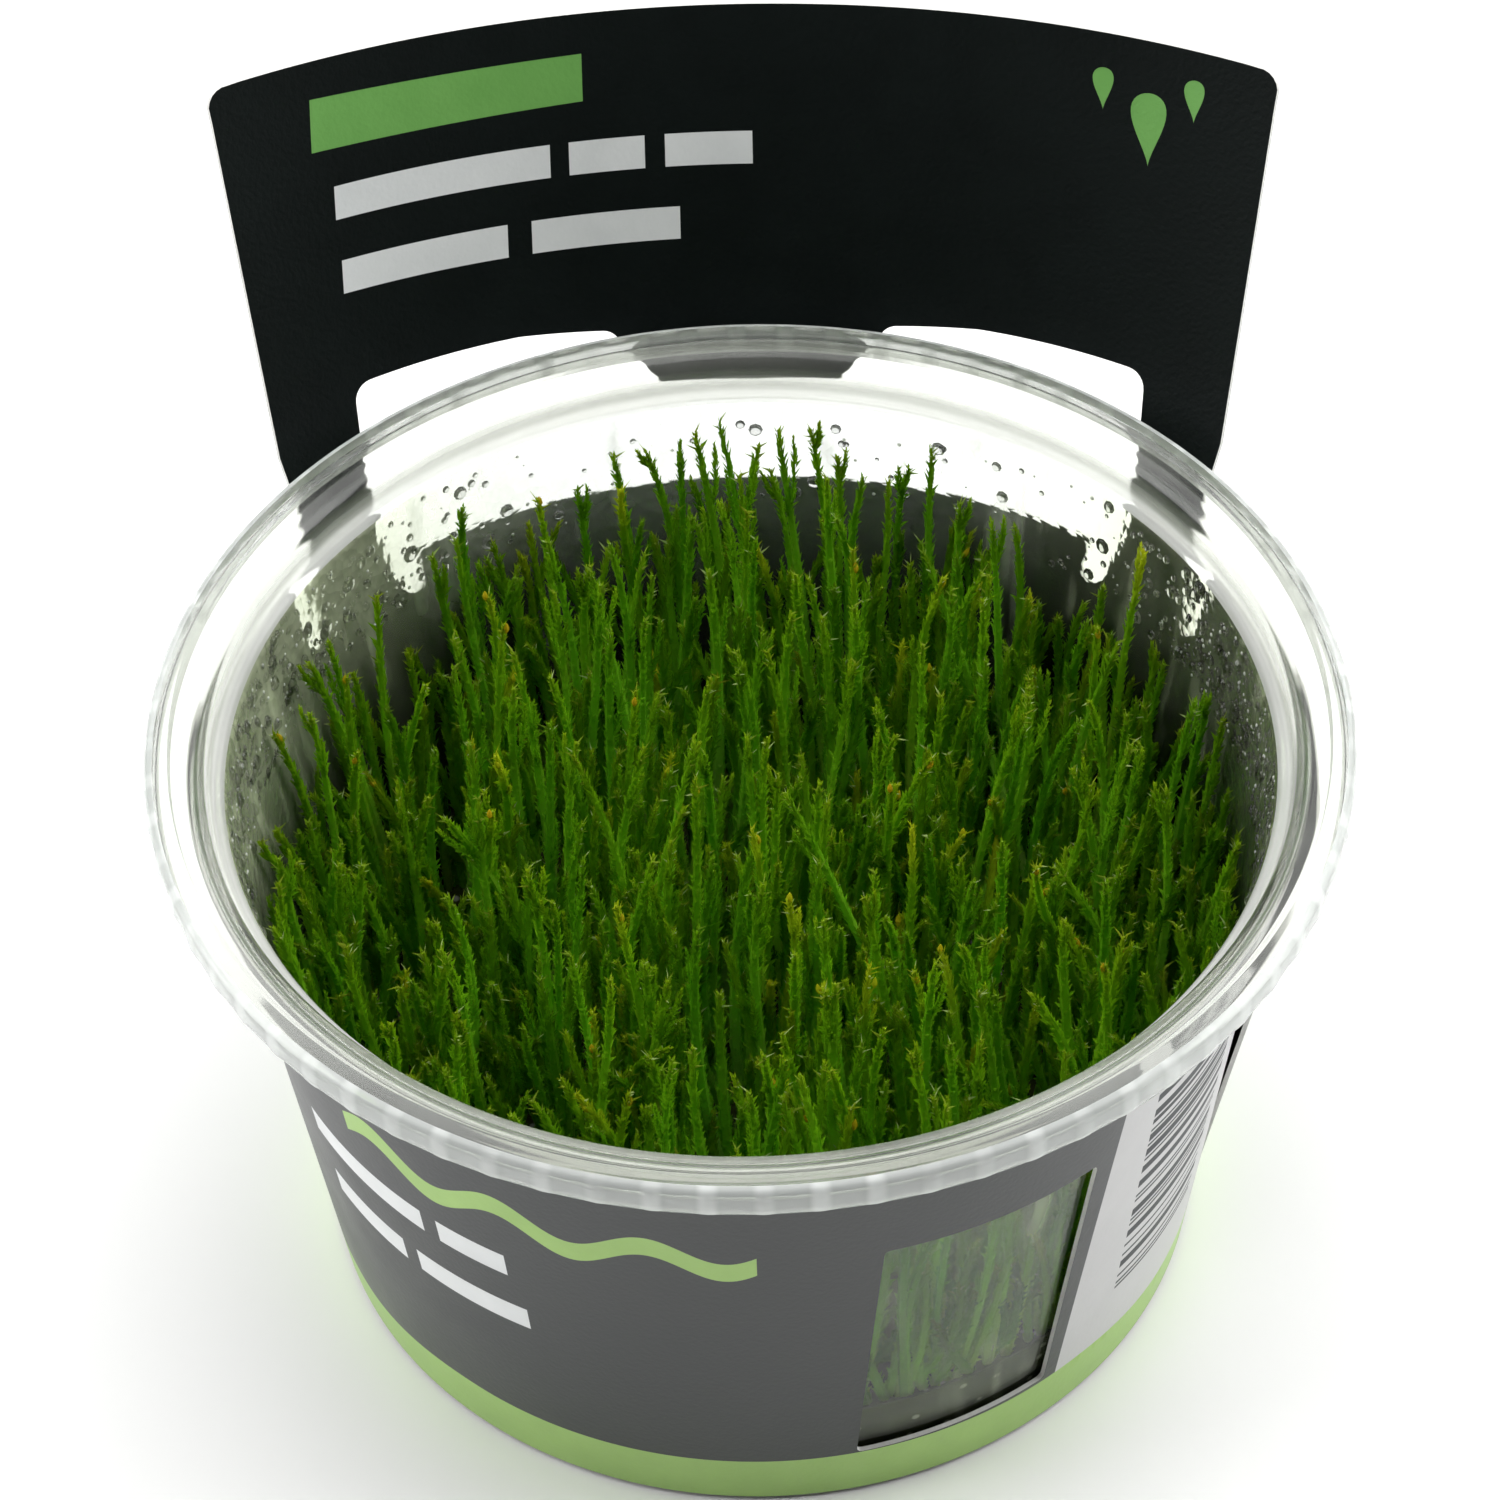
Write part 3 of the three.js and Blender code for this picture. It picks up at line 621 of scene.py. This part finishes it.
def tuft_parts(i):
    """The brush of young leaves at each tip: thin leaves that stand off at 12 to 44 degrees and
    curl outwards, one in five of them pale all over as a painted glint."""
    n, m = len(i), 9
    t = 1 - rng.uniform(0.0, 2.4, (n, m)) / length[i][:, None]
    here = along(t, i[:, None])
    grow = unit(along(t + 0.005, i[:, None]) - here)
    turn = rng.uniform(0, 2 * np.pi, (n, m, 1))
    e1 = unit(np.cross(grow, [0.3, 1.0, 0.05]))
    out = np.cos(turn) * e1 + np.sin(turn) * np.cross(grow, e1)
    size = rng.uniform(0.5, 1.2, (n, m))
    # Painted glint: one tuft leaf in five gets 0.95 more on its third tint, so it is pale all over.
    tint = np.stack([np.full((n, m), -1.0), np.repeat(chance[i][:, None], m, 1),
                     rng.uniform(0.4, 0.99, (n, m)) + 0.95 * (rng.uniform(0, 1, (n, m)) < 0.2)],
                    -1)
    return leaves(here, grow, out, size, np.radians(rng.uniform(12, 44, (n, m))),
                  np.full((n, m), 0.045), tint, rng.uniform(0, 0.5, (n, m)))


def bud_parts(i):
    """A golden bud near each tip: a six-sided grain 1.1 mm long and 0.5 mm thick, beside its
    stem."""
    n, rings, tall = len(i), 6, 1.1
    below = rng.uniform(0.2, 2.5, n) / length[i]
    t = (1 - below)[:, None] + np.linspace(0, 1.3, rings) / length[i][:, None]
    aside = rng.normal(0, 0.22, (n, 1, 2))
    path = along(np.minimum(t, 1), i[:, None])
    path[..., 2] = path[:, :1, 2] + np.linspace(0, tall, rings)
    path[..., :2] += aside
    swell = np.array([0.08, 0.2, 0.26, 0.23, 0.15, 0.04])
    tint = np.stack([np.full((n, rings), -3.0), np.repeat(chance[i][:, None], rings, 1),
                     np.zeros((n, rings))], -1)
    return stems(path, np.repeat(swell[None], n, 0), tint, 6)


def twig_parts(i, most, m):
    """Side twigs of the shoots numbered i, up to most mm long, with m leaves each: a twig leaves
    its shoot sideways, fast at first, and then rises beside it."""
    n = len(i)
    start = rng.uniform(2.0, 20.0, n)
    size = np.minimum(rng.uniform(0.35, 1.0, n) * most, start * 0.95 + 0.5)
    t0 = np.maximum(1 - start / length[i], 0.1)
    foot, above = along(t0, i), along(t0 + 0.01, i)
    rise = unit(above - foot)
    side = rng.normal(0, 1, (n, 3)) * [1, 1, 0]
    side = unit(side - (side * rise).sum(-1, keepdims=True) * rise)

    def bend(t):
        """Twig point at t: up along the shoot in step with t, and out along side by a reach that
        levels off as 1 - exp(-1.6 t) and grows with the twig's size to the power 0.6."""
        reach = 1.5 * (1 - np.exp(-1.6 * t)) * (size / 6)[:, None] ** 0.6
        p = (foot[:, None] + reach[..., None] * side[:, None]
             + (size[:, None] * t)[..., None] * rise[:, None])
        far = np.hypot(p[..., 0], p[..., 1])
        fit = np.minimum(1, (wall_inside(p[..., 2]) - from_wall) / far)
        return p * np.stack([fit, fit, np.ones_like(fit)], -1)

    rings = 5
    t = np.repeat(np.linspace(0, 1, rings)[None], n, 0)
    own = chance[i]
    s_at = lambda t: np.maximum(start - size, 0.0)[:, None] * 0.6 + size[:, None] * (1 - t)
    tint = np.stack([s_at(t), np.repeat(own[:, None], rings, 1), 0 * t], -1)
    return [stems(bend(t), 0.17 - 0.1 * t, tint),
            leafy(bend, size, m, own, s_at, 0.95, 18.0, np.full((n, 1), 0.12))]


# Moist living leaf: light comes through it, so the cushion glows green inside. Its colour goes by
# the distance from the tip: golden buds, yellow-green young leaves, deep green just below, and then
# a paler green towards the root that is painted light, lifting the shade deep in the cushion. Some
# shoots turn gold at the top, and the palest leaf points are painted glints.
leaf, tree, shader = new_material(
    "moist_moss_leaf", Roughness=0.5, IOR=1.4, Specular_IOR_Level=0.35)
tint = add(tree, "ShaderNodeAttribute", attribute_name="grown")
split = add(tree, "ShaderNodeSeparateXYZ", {"Vector": tint.outputs["Vector"]})
age = add(tree, "ShaderNodeMapRange", {"Value": split.outputs["X"], "From Min": -3.0,
                                       "From Max": 33.0})
# Beyond about 6 mm from the tip the greens grow paler towards the root: painted fill light against
# the shade low in the cushion.
tip_colours_and_painted_fill = add(tree, "ShaderNodeValToRGB", {"Fac": age.outputs["Result"]}, stops=[
    (0.0, linear("#d2bc2c")), (0.03, linear("#d2bc2c")), (0.045, linear("#b4c850")),
    (0.08, linear("#98b81a")), (0.13, linear("#7cae10")), (0.26, linear("#86c41a")),
    (0.55, linear("#b4f03c")), (1.0, linear("#d8f088"))])
vary = add(tree, "ShaderNodeValToRGB", {"Fac": split.outputs["Y"]}, stops=[
    (0.0, linear("#9fd08c")), (0.5, linear("#ffffff")), (1.0, linear("#fff096"))])
shade = add(tree, "ShaderNodeMix", {"Factor": 0.7, "A": tip_colours_and_painted_fill.outputs["Color"],
                                    "B": vary.outputs["Color"]},
            data_type="RGBA", blend_type="MULTIPLY")
ripe = add(tree, "ShaderNodeMapRange", {"Value": split.outputs["Y"], "From Min": 0.88,
                                        "From Max": 1.0, "To Min": 0.0, "To Max": 0.9})
near = add(tree, "ShaderNodeMapRange", {"Value": split.outputs["X"], "From Min": 1.0,
                                        "From Max": 7.0, "To Min": 1.0, "To Max": 0.0})
gold = add(tree, "ShaderNodeMath", {0: ripe.outputs["Result"], 1: near.outputs["Result"]},
           operation="MULTIPLY")
golden = add(tree, "ShaderNodeMix", {"Factor": gold.outputs[0], "A": shade.outputs["Result"],
                                     "B": linear("#c8d424")}, data_type="RGBA")
# Painted glints: leaf points whose third tint passes 1.82 are mixed towards a pale colour, standing
# in for light glinting on them.
point = add(tree, "ShaderNodeMapRange", {"Value": split.outputs["Z"], "From Min": 1.82,
                                         "From Max": 1.96, "To Min": 0.0, "To Max": 0.85})
pale = add(tree, "ShaderNodeMix", {"Factor": point.outputs["Result"], "A": golden.outputs["Result"],
                                   "B": linear("#d6e6a4")}, data_type="RGBA")
tree.links.new(pale.outputs["Result"], shader.inputs["Base Color"])
lit_through = add(tree, "ShaderNodeBsdfTranslucent", {"Color": pale.outputs["Result"]})
both = add(tree, "ShaderNodeMixShader", {0: 0.5, 1: shader.outputs["BSDF"],
                                         2: lit_through.outputs["BSDF"]})
tree.links.new(both.outputs["Shader"], tree.nodes["Material Output"].inputs["Surface"])

# The shoots are joined by fifths of the cup's round into five pieces.
fifths = ("right_back", "right_front", "front", "left_front", "left_back")
sector = ((np.arctan2(tip[:, 0], tip[:, 1]) / (2 * np.pi)) % 1 * len(fifths)).astype(int)
for part, name in enumerate(fifths):
    own = np.where(sector == part)[0]
    tall = own[own < mains]
    parts = shoot_parts(own) + twig_parts(own[chance[own] < 0.75], 9.0, 40)
    parts += twig_parts(tall[chance[tall] > 0.4], 5.0, 24)
    parts += [tuft_parts(own), bud_parts(tall[chance[tall] > 0.86])]
    starts = np.cumsum([0] + [len(p[0]) for p in parts])
    points = np.vstack([p[0] for p in parts])
    faces = np.vstack([p[1] + start for p, start in zip(parts, starts)])
    tints = np.vstack([p[2] for p in parts])
    moss = new_piece("moss_" + name, points, faces, [leaf], smooth=False)
    grown = moss.data.attributes.new("grown", "FLOAT_VECTOR", "POINT")
    grown.data.foreach_set("vector", tints.astype(np.float32).ravel())
    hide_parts("moss")
    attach(moss, "root")
    print(moss.name, len(faces), "triangles")

# The card is one die-cut sheet of printed board, 0.4 mm thick, glued into a sleeve round the cup.
# Its header leans back behind the rim with a tongue, and a slit on the right takes up the curve.
card_turn = 1.3
slit_at = 105.5
board = 0.4
u_radius = 50
round_once = 2 * math.pi * u_radius
sleeve_foot, sleeve_top = 0.6, 50.4
sleeve_radius = 38.23
header_radius, header_slope, header_axis = 61.1, 0.45, 10
rim_level = 53


def card_place(u, z, offset=0.0):
    """The wrapped card. u is mm round from the back at a radius of 50, z the height, and offset
    how far out along the surface's normal, the cross product of its two slopes."""
    def at(u, z):
        """The sleeve follows the cup's cone. The header blends into a wide cone that leans back,
        with its axis 10 mm in front of the cup's, so its distance from the cup's axis solves a
        circle's equation. The sheet near the slit stands off by a ramp."""
        d = np.degrees(u / u_radius)
        b = np.radians(d)
        wall = sleeve_radius + cone * z
        curve = header_radius + header_slope * (z - rim_level)
        c = -header_axis * np.cos(b)
        lean = c + np.sqrt(np.maximum(c * c - header_axis ** 2 + curve * curve, 0))
        a = np.minimum(np.abs(d), 360 - np.abs(d))
        share = 1 - 0.88 * smooth_step(a, 51, 60) - 0.12 * smooth_step(a, 80, 115)
        radius = wall + share * smooth_step(z, 35, 47) * np.maximum(lean - wall, 0)
        radius += (d > 70) * 1.9 * np.clip((z - 12) / 36, 0, 2) * smooth_step(d, 84, 104)
        b = b + np.radians(card_turn)
        return np.stack([radius * np.sin(b), radius * np.cos(b), z], -1)
    here = at(u, z)
    if not np.any(offset):
        return here
    du = at(u + 0.02, z) - at(u - 0.02, z)
    dz = at(u, z + 0.02) - at(u, z - 0.02)
    return here + unit(np.cross(dz, du)) * offset


def from_flat(x, y):
    """The header's flat pattern (x across, y up from the rim's level) rolled onto its cone, which
    unrolls as a ring sector: the distance from the sector's centre gives the height, and the
    angle there, over the sine of the cone's slope, gives the turn round its axis."""
    sine = header_slope / math.hypot(1, header_slope)
    rho = np.hypot(x, y + header_radius / sine)
    theta = np.arctan2(x, y + header_radius / sine) / sine
    curve = rho * sine
    u = np.arctan2(curve * np.sin(theta), curve * np.cos(theta) - header_axis) * u_radius
    return np.stack([u, rim_level + (curve - header_radius) / header_slope], -1)


def front_u(a):
    """u of a place a degrees to the right of the front."""
    return np.radians(-180 - card_turn - np.asarray(a, float)) * u_radius


def rounded(corners, steps=6):
    """A closed outline whose corners (x, y, radius) are cut back and joined by short curves."""
    looped = [corners[-1], *corners, corners[0]]
    parts = []
    for last, (x, y, radius), coming in zip(looped, looped[1:], looped[2:]):
        here = np.array([x, y])
        if not radius:
            parts.append(here[None])
            continue
        a, b = np.array(last[:2]) - here, np.array(coming[:2]) - here
        half = math.acos(np.clip(a @ b / np.hypot(*a) / np.hypot(*b), -1, 1)) / 2
        cut = radius / math.tan(half)
        start, end = here + a / np.hypot(*a) * cut, here + b / np.hypot(*b) * cut
        middle = here + unit(unit(a) + unit(b)) * radius / math.sin(half)
        first = math.atan2(*(start - middle)[::-1])
        sweep = (math.atan2(*(end - middle)[::-1]) - first + math.pi) % (2 * math.pi) - math.pi
        t = first + sweep * np.linspace(0, 1, steps + 1)
        parts.append(middle + radius * np.stack([np.cos(t), np.sin(t)], -1))
    return np.vstack(parts)


def cut_fine(outline, most):
    """The outline with its sides divided so that none is longer than most."""
    ends = np.roll(outline, -1, axis=0)
    count = np.maximum(1, np.ceil(np.hypot(*(ends - outline).T) / most).astype(int))
    which = np.repeat(np.arange(len(outline)), count)
    step = np.arange(len(which)) - np.repeat(np.cumsum(count) - count, count)
    share = (step / count[which])[:, None]
    return outline[which] * (1 - share) + ends[which] * share


def inside(points, outline):
    """True where a point is within the outline, by counting the sides that a ray crosses."""
    x, y = points.T
    hit = np.zeros(len(points), bool)
    for (x1, y1), (x2, y2) in zip(outline, np.roll(outline, -1, axis=0)):
        if y1 != y2:
            hit ^= ((y1 > y) != (y2 > y)) & (x < (x2 - x1) * (y - y1) / (y2 - y1) + x1)
    return hit


def header_arc(x):
    """Height of the header's top over the rim's level, a flat arc: it falls with x squared."""
    return 30.8 - x * x / 680


slit_u = math.radians(slit_at) * u_radius
seam_u = slit_u - round_once
side_y = np.linspace(-6, 24, 9)
header_side = from_flat(44.4 + (side_y + 9) * 0.128, side_y)
corner_x, corner_r = 47.2, 1.7
q = np.radians(np.linspace(0, 90, 6))
header_corner = from_flat(corner_x + corner_r * np.cos(q) - 0.25 * q / q[-1],
                          header_arc(corner_x) - corner_r + corner_r * np.sin(q))
top_x = np.linspace(46, 0, 40)
header_top = from_flat(top_x, header_arc(top_x))
slot = rounded([(53.1, sleeve_top, 0), (52.7, 42.3, 2.0), (48.0, 42.3, 2.0), (46.9, 43.6, 0)])
strip = np.array([(45.5, 44.9), (44.1, 46.6), (43.6, 48.6)])
right_half = np.vstack([slot, strip, header_side, header_corner, header_top])
glued_to = 12.0
slit_side = [(slit_u, sleeve_foot), (slit_u, glued_to), (slit_u, sleeve_top)]
seam_side = [(seam_u, sleeve_top), (seam_u, glued_to), (seam_u, sleeve_foot)]
sheet_edge = np.vstack([slit_side, right_half, (right_half * [-1, 1])[::-1][1:], seam_side])
half = rounded([(0, 49.8, 0), (8.4, 50.0, 1.0), (12.1, 54.7, 1.6), (20, 55.7, 6),
                (34.8, 56.4, 1.8), (38.8, 39.5, 1.35), (35.7, 39.5, 1.35), (35.3, 42.1, 0.9),
                (0, 41.6, 0)])
back_window = np.vstack([half, (half * [-1, 1])[::-1][1:-1]])
front_window = rounded([(u - round_once, z, 0.6) for u, z in
                        ((146.8, 6.7), (124.2, 7.1), (122.2, 38.0), (144.9, 38.3))], 3)


def header_bar(x0, x1, y0, y1):
    """A bar of ink on the header that bends with the card: a flat arc of 350 mm radius."""
    x = np.linspace(x0, x1, 24)
    low, high = y0 - x * x / 700, y1 - x * x / 700
    return from_flat(np.append(x, x[::-1]), np.append(low, high[::-1]))


def header_drop(x, y, size):
    """A drop of ink on the header, round above and pointed below: as an angle goes round, the
    height follows its cosine, and the width its sine times the square of the half angle's sine."""
    angle = np.linspace(0, 2 * np.pi, 40, endpoint=False)
    return from_flat(x + size * np.sin(angle) * np.sin(angle / 2) ** 2,
                     y - size * 1.25 * np.cos(angle))


def sleeve_strip(a, low, high):
    """A strip of ink on the sleeve from low to high, at places a degrees right of the front."""
    return np.stack([front_u(np.append(a, a[::-1])), np.append(low, high[::-1])], -1)


def sleeve_bar(a0, a1, low, high):
    """A level bar of ink on the sleeve, from a0 to a1 degrees right of the front."""
    return sleeve_strip(np.linspace(a0, a1, 24), np.full(24, low), np.full(24, high))


def band_top(a):
    """Top of the green band a degrees from the front: 6.6 mm high up to 40 degrees, then falling
    by an s-curve to 1.5 mm less from 63 degrees on."""
    return 6.6 - 1.5 * smooth_step(a, 40, 63)


# The print stands for lettering: plain bars and a wave on the sleeve's front, stripes of chance
# widths on its pale patch, and on the header's inside a tab, bars and three drops.
green, leaf_green, white_ink, pale_grey, ink_black = 2, 3, 4, 5, 6
band_a = np.linspace(73.2, 73.2 - 360, 240)
patch_foot = np.linspace(73.2, 38.4, 30)
patch = np.vstack([
    np.stack([front_u(np.linspace(42.5, 73.2, 30)), np.full(30, sleeve_top)], -1),
    np.stack([front_u(patch_foot), band_top(patch_foot)], -1)])
outer_print = [
    (green, sleeve_strip(band_a, np.full(240, sleeve_foot),
                         band_top(np.abs((band_a + 180) % 360 - 180)))),
    (pale_grey, patch)]
stripes = np.cumsum(rng.choice([0.35, 0.35, 0.7, 1.05], 64))
stripes = 12.9 + stripes[stripes < 36]
for low, high in zip(stripes[0::2], stripes[1::2]):
    outer_print.append((ink_black, sleeve_bar(47.4, 66.0, low, high)))
wave_a = np.linspace(-51.5, -1.0, 120)
wave = 38.7 + 1.5 * np.sin(np.radians(wave_a * 21))
outer_print.append((green, sleeve_strip(wave_a, wave - 1.3, wave + 1.3)))
for a0, a1, low in ((-61.5, -41.5, 29.6), (-39.2, -30.0, 29.6),
                    (-60.0, -46.5, 22.0), (-44.2, -28.4, 22.0)):
    outer_print.append((white_ink, sleeve_bar(a0, a1, low, low + 3)))
tab = np.vstack([from_flat(np.array([-14.4, -14.4]), np.array([22.6, 26.9])),
                 from_flat(np.linspace(-14.9, -39.3, 20), np.linspace(26.85, 25.2, 20)),
                 from_flat(np.linspace(-39.4, -14.9, 20), np.linspace(20.5, 22.56, 20))])
inner_print = [(leaf_green, tab)]
for x0, x1, low in ((-37.5, -17.5, 16.3), (-15.8, -9.0, 16.3), (-7.2, 0.6, 16.3),
                    (-37.2, -21.6, 9.6), (-19.4, -6.0, 9.6)):
    inner_print.append((white_ink, header_bar(x0, x1, low, low + 3)))
for x, y, size in ((36.6, 21.0, 2.6), (32.3, 24.3, 1.5), (40.9, 23.9, 1.5)):
    inner_print.append((leaf_green, header_drop(x, y, size)))


def sheet_side(prints):
    """Triangles of the flat sheet with its windows and every printed shape cut in. Returns the
    points (u, z), the triangles and each one's ink."""
    windows = (back_window, front_window)
    outlines = [cut_fine(edge, 0.7) for edge in (sheet_edge, *windows)]
    outlines += [cut_fine(shape, 0.9) for _, shape in prints]
    grid = [np.stack(np.meshgrid(np.arange(seam_u + 0.6, slit_u, 1.25), np.arange(1.6, 50, 1.7)),
                     -1).reshape(-1, 2),
            np.stack(np.meshgrid(np.arange(-58, 58.1, 1.2), np.arange(51.6, 92, 1.5)),
                     -1).reshape(-1, 2)]
    points = np.vstack(outlines + grid)
    starts = np.cumsum([0] + [len(o) for o in outlines])
    edges = np.vstack([np.stack([np.arange(len(o)), np.roll(np.arange(len(o)), -1)], -1) + s
                       for o, s in zip(outlines, starts)])
    made = delaunay_2d_cdt([Vector(p) for p in points.tolist()], edges.tolist(), [], 0, 1e-4)
    flat = np.array([tuple(v) for v in made[0]])
    faces = np.array(made[2])
    middle = flat[faces].mean(1)
    keep = inside(middle, sheet_edge)
    for window in windows:
        keep &= ~inside(middle, window)
    faces, middle = faces[keep], middle[keep]
    ink = np.zeros(len(faces), int)
    for colour, shape in prints:
        ink[inside(middle, shape)] = colour
    return flat, faces, ink


flat, faces, ink = sheet_side(outer_print + inner_print)
used, faces = np.unique(faces, return_inverse=True)
faces = faces.reshape(-1, 3)
flat = flat[used]

# The sheet's two ends are glued below the slit: their points there become the same points.
at_slit = np.abs(flat[:, 0] - slit_u) < 0.01
at_seam = np.where(np.abs(flat[:, 0] - seam_u) < 0.01)[0]
same = np.arange(len(flat))
for v in np.where(at_slit & (flat[:, 1] < glued_to + 0.01))[0]:
    near = at_seam[np.argmin(np.abs(flat[at_seam, 1] - flat[v, 1]))]
    if abs(flat[near, 1] - flat[v, 1]) < 0.02:
        same[v] = near
faces = same[faces]

# Both faces of the board, and its cut edge along every side that only one triangle has.
n = len(flat)
outside = card_place(flat[:, 0], flat[:, 1], board / 2)
within = card_place(flat[:, 0], flat[:, 1], -board / 2)
sides = np.vstack([faces[:, [0, 1]], faces[:, [1, 2]], faces[:, [2, 0]]])
key = sides.min(1).astype(np.int64) * n + sides.max(1)
_, first, count = np.unique(key, return_index=True, return_counts=True)
rim = sides[first[count == 1]]
rim_faces = np.vstack([np.stack([rim[:, 1], rim[:, 0], rim[:, 0] + n], -1),
                       np.stack([rim[:, 1], rim[:, 0] + n, rim[:, 1] + n], -1)])
outer_ink, inner_ink = ink.copy(), ink.copy()
middle = flat[faces].mean(1)
header = (middle[:, 1] > sleeve_top) & (np.abs(middle[:, 0]) < 70)
outer_ink[header] = 0
inner_ink[~header] = 0
card_faces = np.vstack([faces[:, ::-1], faces + n, rim_faces[:, ::-1]])
card_ink = np.concatenate([outer_ink, np.where(inner_ink == 0, 1, inner_ink),
                           np.full(len(rim_faces), 7)])

# Printed board under a thin film: each ink lies a little uneven, and a fine pebble in the film
# breaks up its gloss. The slate and the green band are the glossiest, the header's black is nearly
# matt, and the cut edge is bare pale board.
inks = []
for name, thin, full, rough, pebble in (
        ("slate_film_print", "#2a2d2f", "#212426", 0.31, 0.15),
        ("black_film_print", "#0e1514", "#090f0e", 0.55, 0.5),
        ("green_band_ink", "#a6cc70", "#94bb5e", 0.33, 0.15),
        ("leaf_green_ink", "#76b25a", "#68a34f", 0.38, 0.3),
        ("white_ink", "#eef0f0", "#dcdfdf", 0.38, 0.15),
        ("pale_grey_ink", "#cacaca", "#bdbdbd", 0.38, 0.15),
        ("black_bar_ink", "#424547", "#333638", 0.38, 0.15),
        ("cut_board_edge", "#e0e0dd", "#cfcfca", 0.88, 1.0)):
    ink_made, tree, shader = new_material(name, Base_Color=linear(full), Roughness=rough,
                                          Specular_IOR_Level=0.12 if "black" in name else 0.52)
    place = add(tree, "ShaderNodeTexCoord").outputs["Object"]
    laid = add(tree, "ShaderNodeTexNoise", {"Vector": place, "Scale": 130.0, "Detail": 5.0,
                                            "Roughness": 0.6})
    mottle = add(tree, "ShaderNodeValToRGB", {"Fac": laid.outputs["Fac"]}, stops=[
        (0.2, linear(full)), (0.8, linear(thin))])
    tree.links.new(mottle.outputs["Color"], shader.inputs["Base Color"])
    worn = add(tree, "ShaderNodeMapRange", {"Value": laid.outputs["Fac"], "From Min": 0.2,
                                            "From Max": 0.8, "To Min": rough - 0.03,
                                            "To Max": rough + 0.08})
    tree.links.new(worn.outputs["Result"], shader.inputs["Roughness"])
    grain = add(tree, "ShaderNodeTexNoise", {"Vector": place, "Scale": 2200.0, "Detail": 2.0})
    bump = add(tree, "ShaderNodeBump", {"Height": grain.outputs["Fac"], "Strength": pebble,
                                        "Distance": 0.00012})
    tree.links.new(bump.outputs["Normal"], shader.inputs["Normal"])
    inks.append(ink_made)
card = new_piece("card_sleeve", np.vstack([outside, within]), card_faces, inks, card_ink)
card.data.set_sharp_from_angle(angle=math.radians(50))
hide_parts("card")
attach(card, "root")
print("card", len(card_faces), "triangles")

# Condensed water stands in drops on the inside of the wall above the moss, most at the sides.
# Each is a low round cap of water, 0.2 to 1.4 mm across, and ten of up to 2 mm sit further back.
# big_drops holds the big ones' turns in degrees from the back and their heights. The others
# gather round two places at the sides, and a few at the back.
big_drops = np.array([(-39, 42.8), (-32.1, 43), (-45.7, 42.4), (-49, 44.3), (-53, 48), (-58, 46),
                      (-43, 46.2), (47, 46.5), (66, 44.5), (71, 47.5)])
drops = 1100
gathers = rng.choice([-78, 82, 0], drops, p=[0.49, 0.48, 0.03])
turn = np.radians(gathers + rng.normal(0, 22, drops))
height = rng.uniform(41.5, 51, drops)
size = np.clip(np.exp(rng.normal(-1.35, 0.55, drops)), 0.09, 0.7)
turn[:len(big_drops)] = np.radians(big_drops[:, 0])
height[:len(big_drops)] = big_drops[:, 1]
size[:len(big_drops)] = rng.uniform(0.75, 1.0, len(big_drops))
deep = np.where(size > 0.72, 0.45, 1.0)
taper = math.atan(cone)
radial = np.stack([np.sin(turn), np.cos(turn), 0 * turn], -1)
sideways = np.stack([np.cos(turn), -np.sin(turn), 0 * turn], -1)
upward = radial * math.sin(taper) + np.array([0, 0, 1]) * math.cos(taper)
inward = np.cross(upward, sideways)
inward *= -np.sign((inward * radial).sum(-1, keepdims=True))
centre = radial * (wall_inside(height)[:, None] + 0.02) + np.array([0, 0, 1]) * height[:, None]

# One drop: rings of eight points at radii and depths that follow a low dome, closed by a middle
# point on top and one at the wall. It is set on the wall at every place, scaled by its size.
seg = 8
rings = np.array([(1.0, 0.0), (0.8, 0.34), (0.42, 0.55)])
a = np.arange(seg) * (2 * np.pi / seg)
local = np.stack([rings[:, :1] * np.cos(a), rings[:, :1] * np.sin(a),
                  np.repeat(rings[:, 1:], seg, 1)], -1).reshape(-1, 3)
local = np.vstack([local, [(0, 0, 0.6), (0, 0, 0)]])
points = centre[:, None] + size[:, None, None] * (
    local[None, :, :1] * sideways[:, None] + local[None, :, 1:2] * upward[:, None]
    + local[None, :, 2:] * (deep[:, None] * inward)[:, None])
i, j = np.arange(seg), (np.arange(seg) + 1) % seg
cap = [np.stack([i + k * seg, j + k * seg, j + (k + 1) * seg], -1) for k in (0, 1)]
cap += [np.stack([i + k * seg, j + (k + 1) * seg, i + (k + 1) * seg], -1) for k in (0, 1)]
cap += [np.stack([i + 2 * seg, j + 2 * seg, np.full(seg, 3 * seg)], -1),
        np.stack([j, i, np.full(seg, 3 * seg + 1)], -1)]
cap = np.vstack(cap)
faces = (cap[None] + (np.arange(drops) * len(local))[:, None, None]).reshape(-1, 3)

# Condensed water is clear with a dark and a bright edge. The finest drops, too small to see
# through, look milky: a diffuse white that is partly their own scatter and partly painted glints.
water, tree, shader = new_material("condensed_water", Roughness=0.02, IOR=1.333,
                                   Transmission_Weight=1.0)
# Partly painted glints: drops under 0.21 mm take this half-diffuse pale white.
milky_dew_with_painted_glints, tree, shader = new_material("fine_milky_dew", Base_Color=linear("#f2f6ec"), Roughness=0.15,
                                  IOR=1.333, Transmission_Weight=0.45)
small = np.repeat(size < 0.21, len(cap))
dew = new_piece("condensed_drops", points.reshape(-1, 3), faces, [water, milky_dew_with_painted_glints], small)
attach(dew, "root")

low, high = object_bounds()
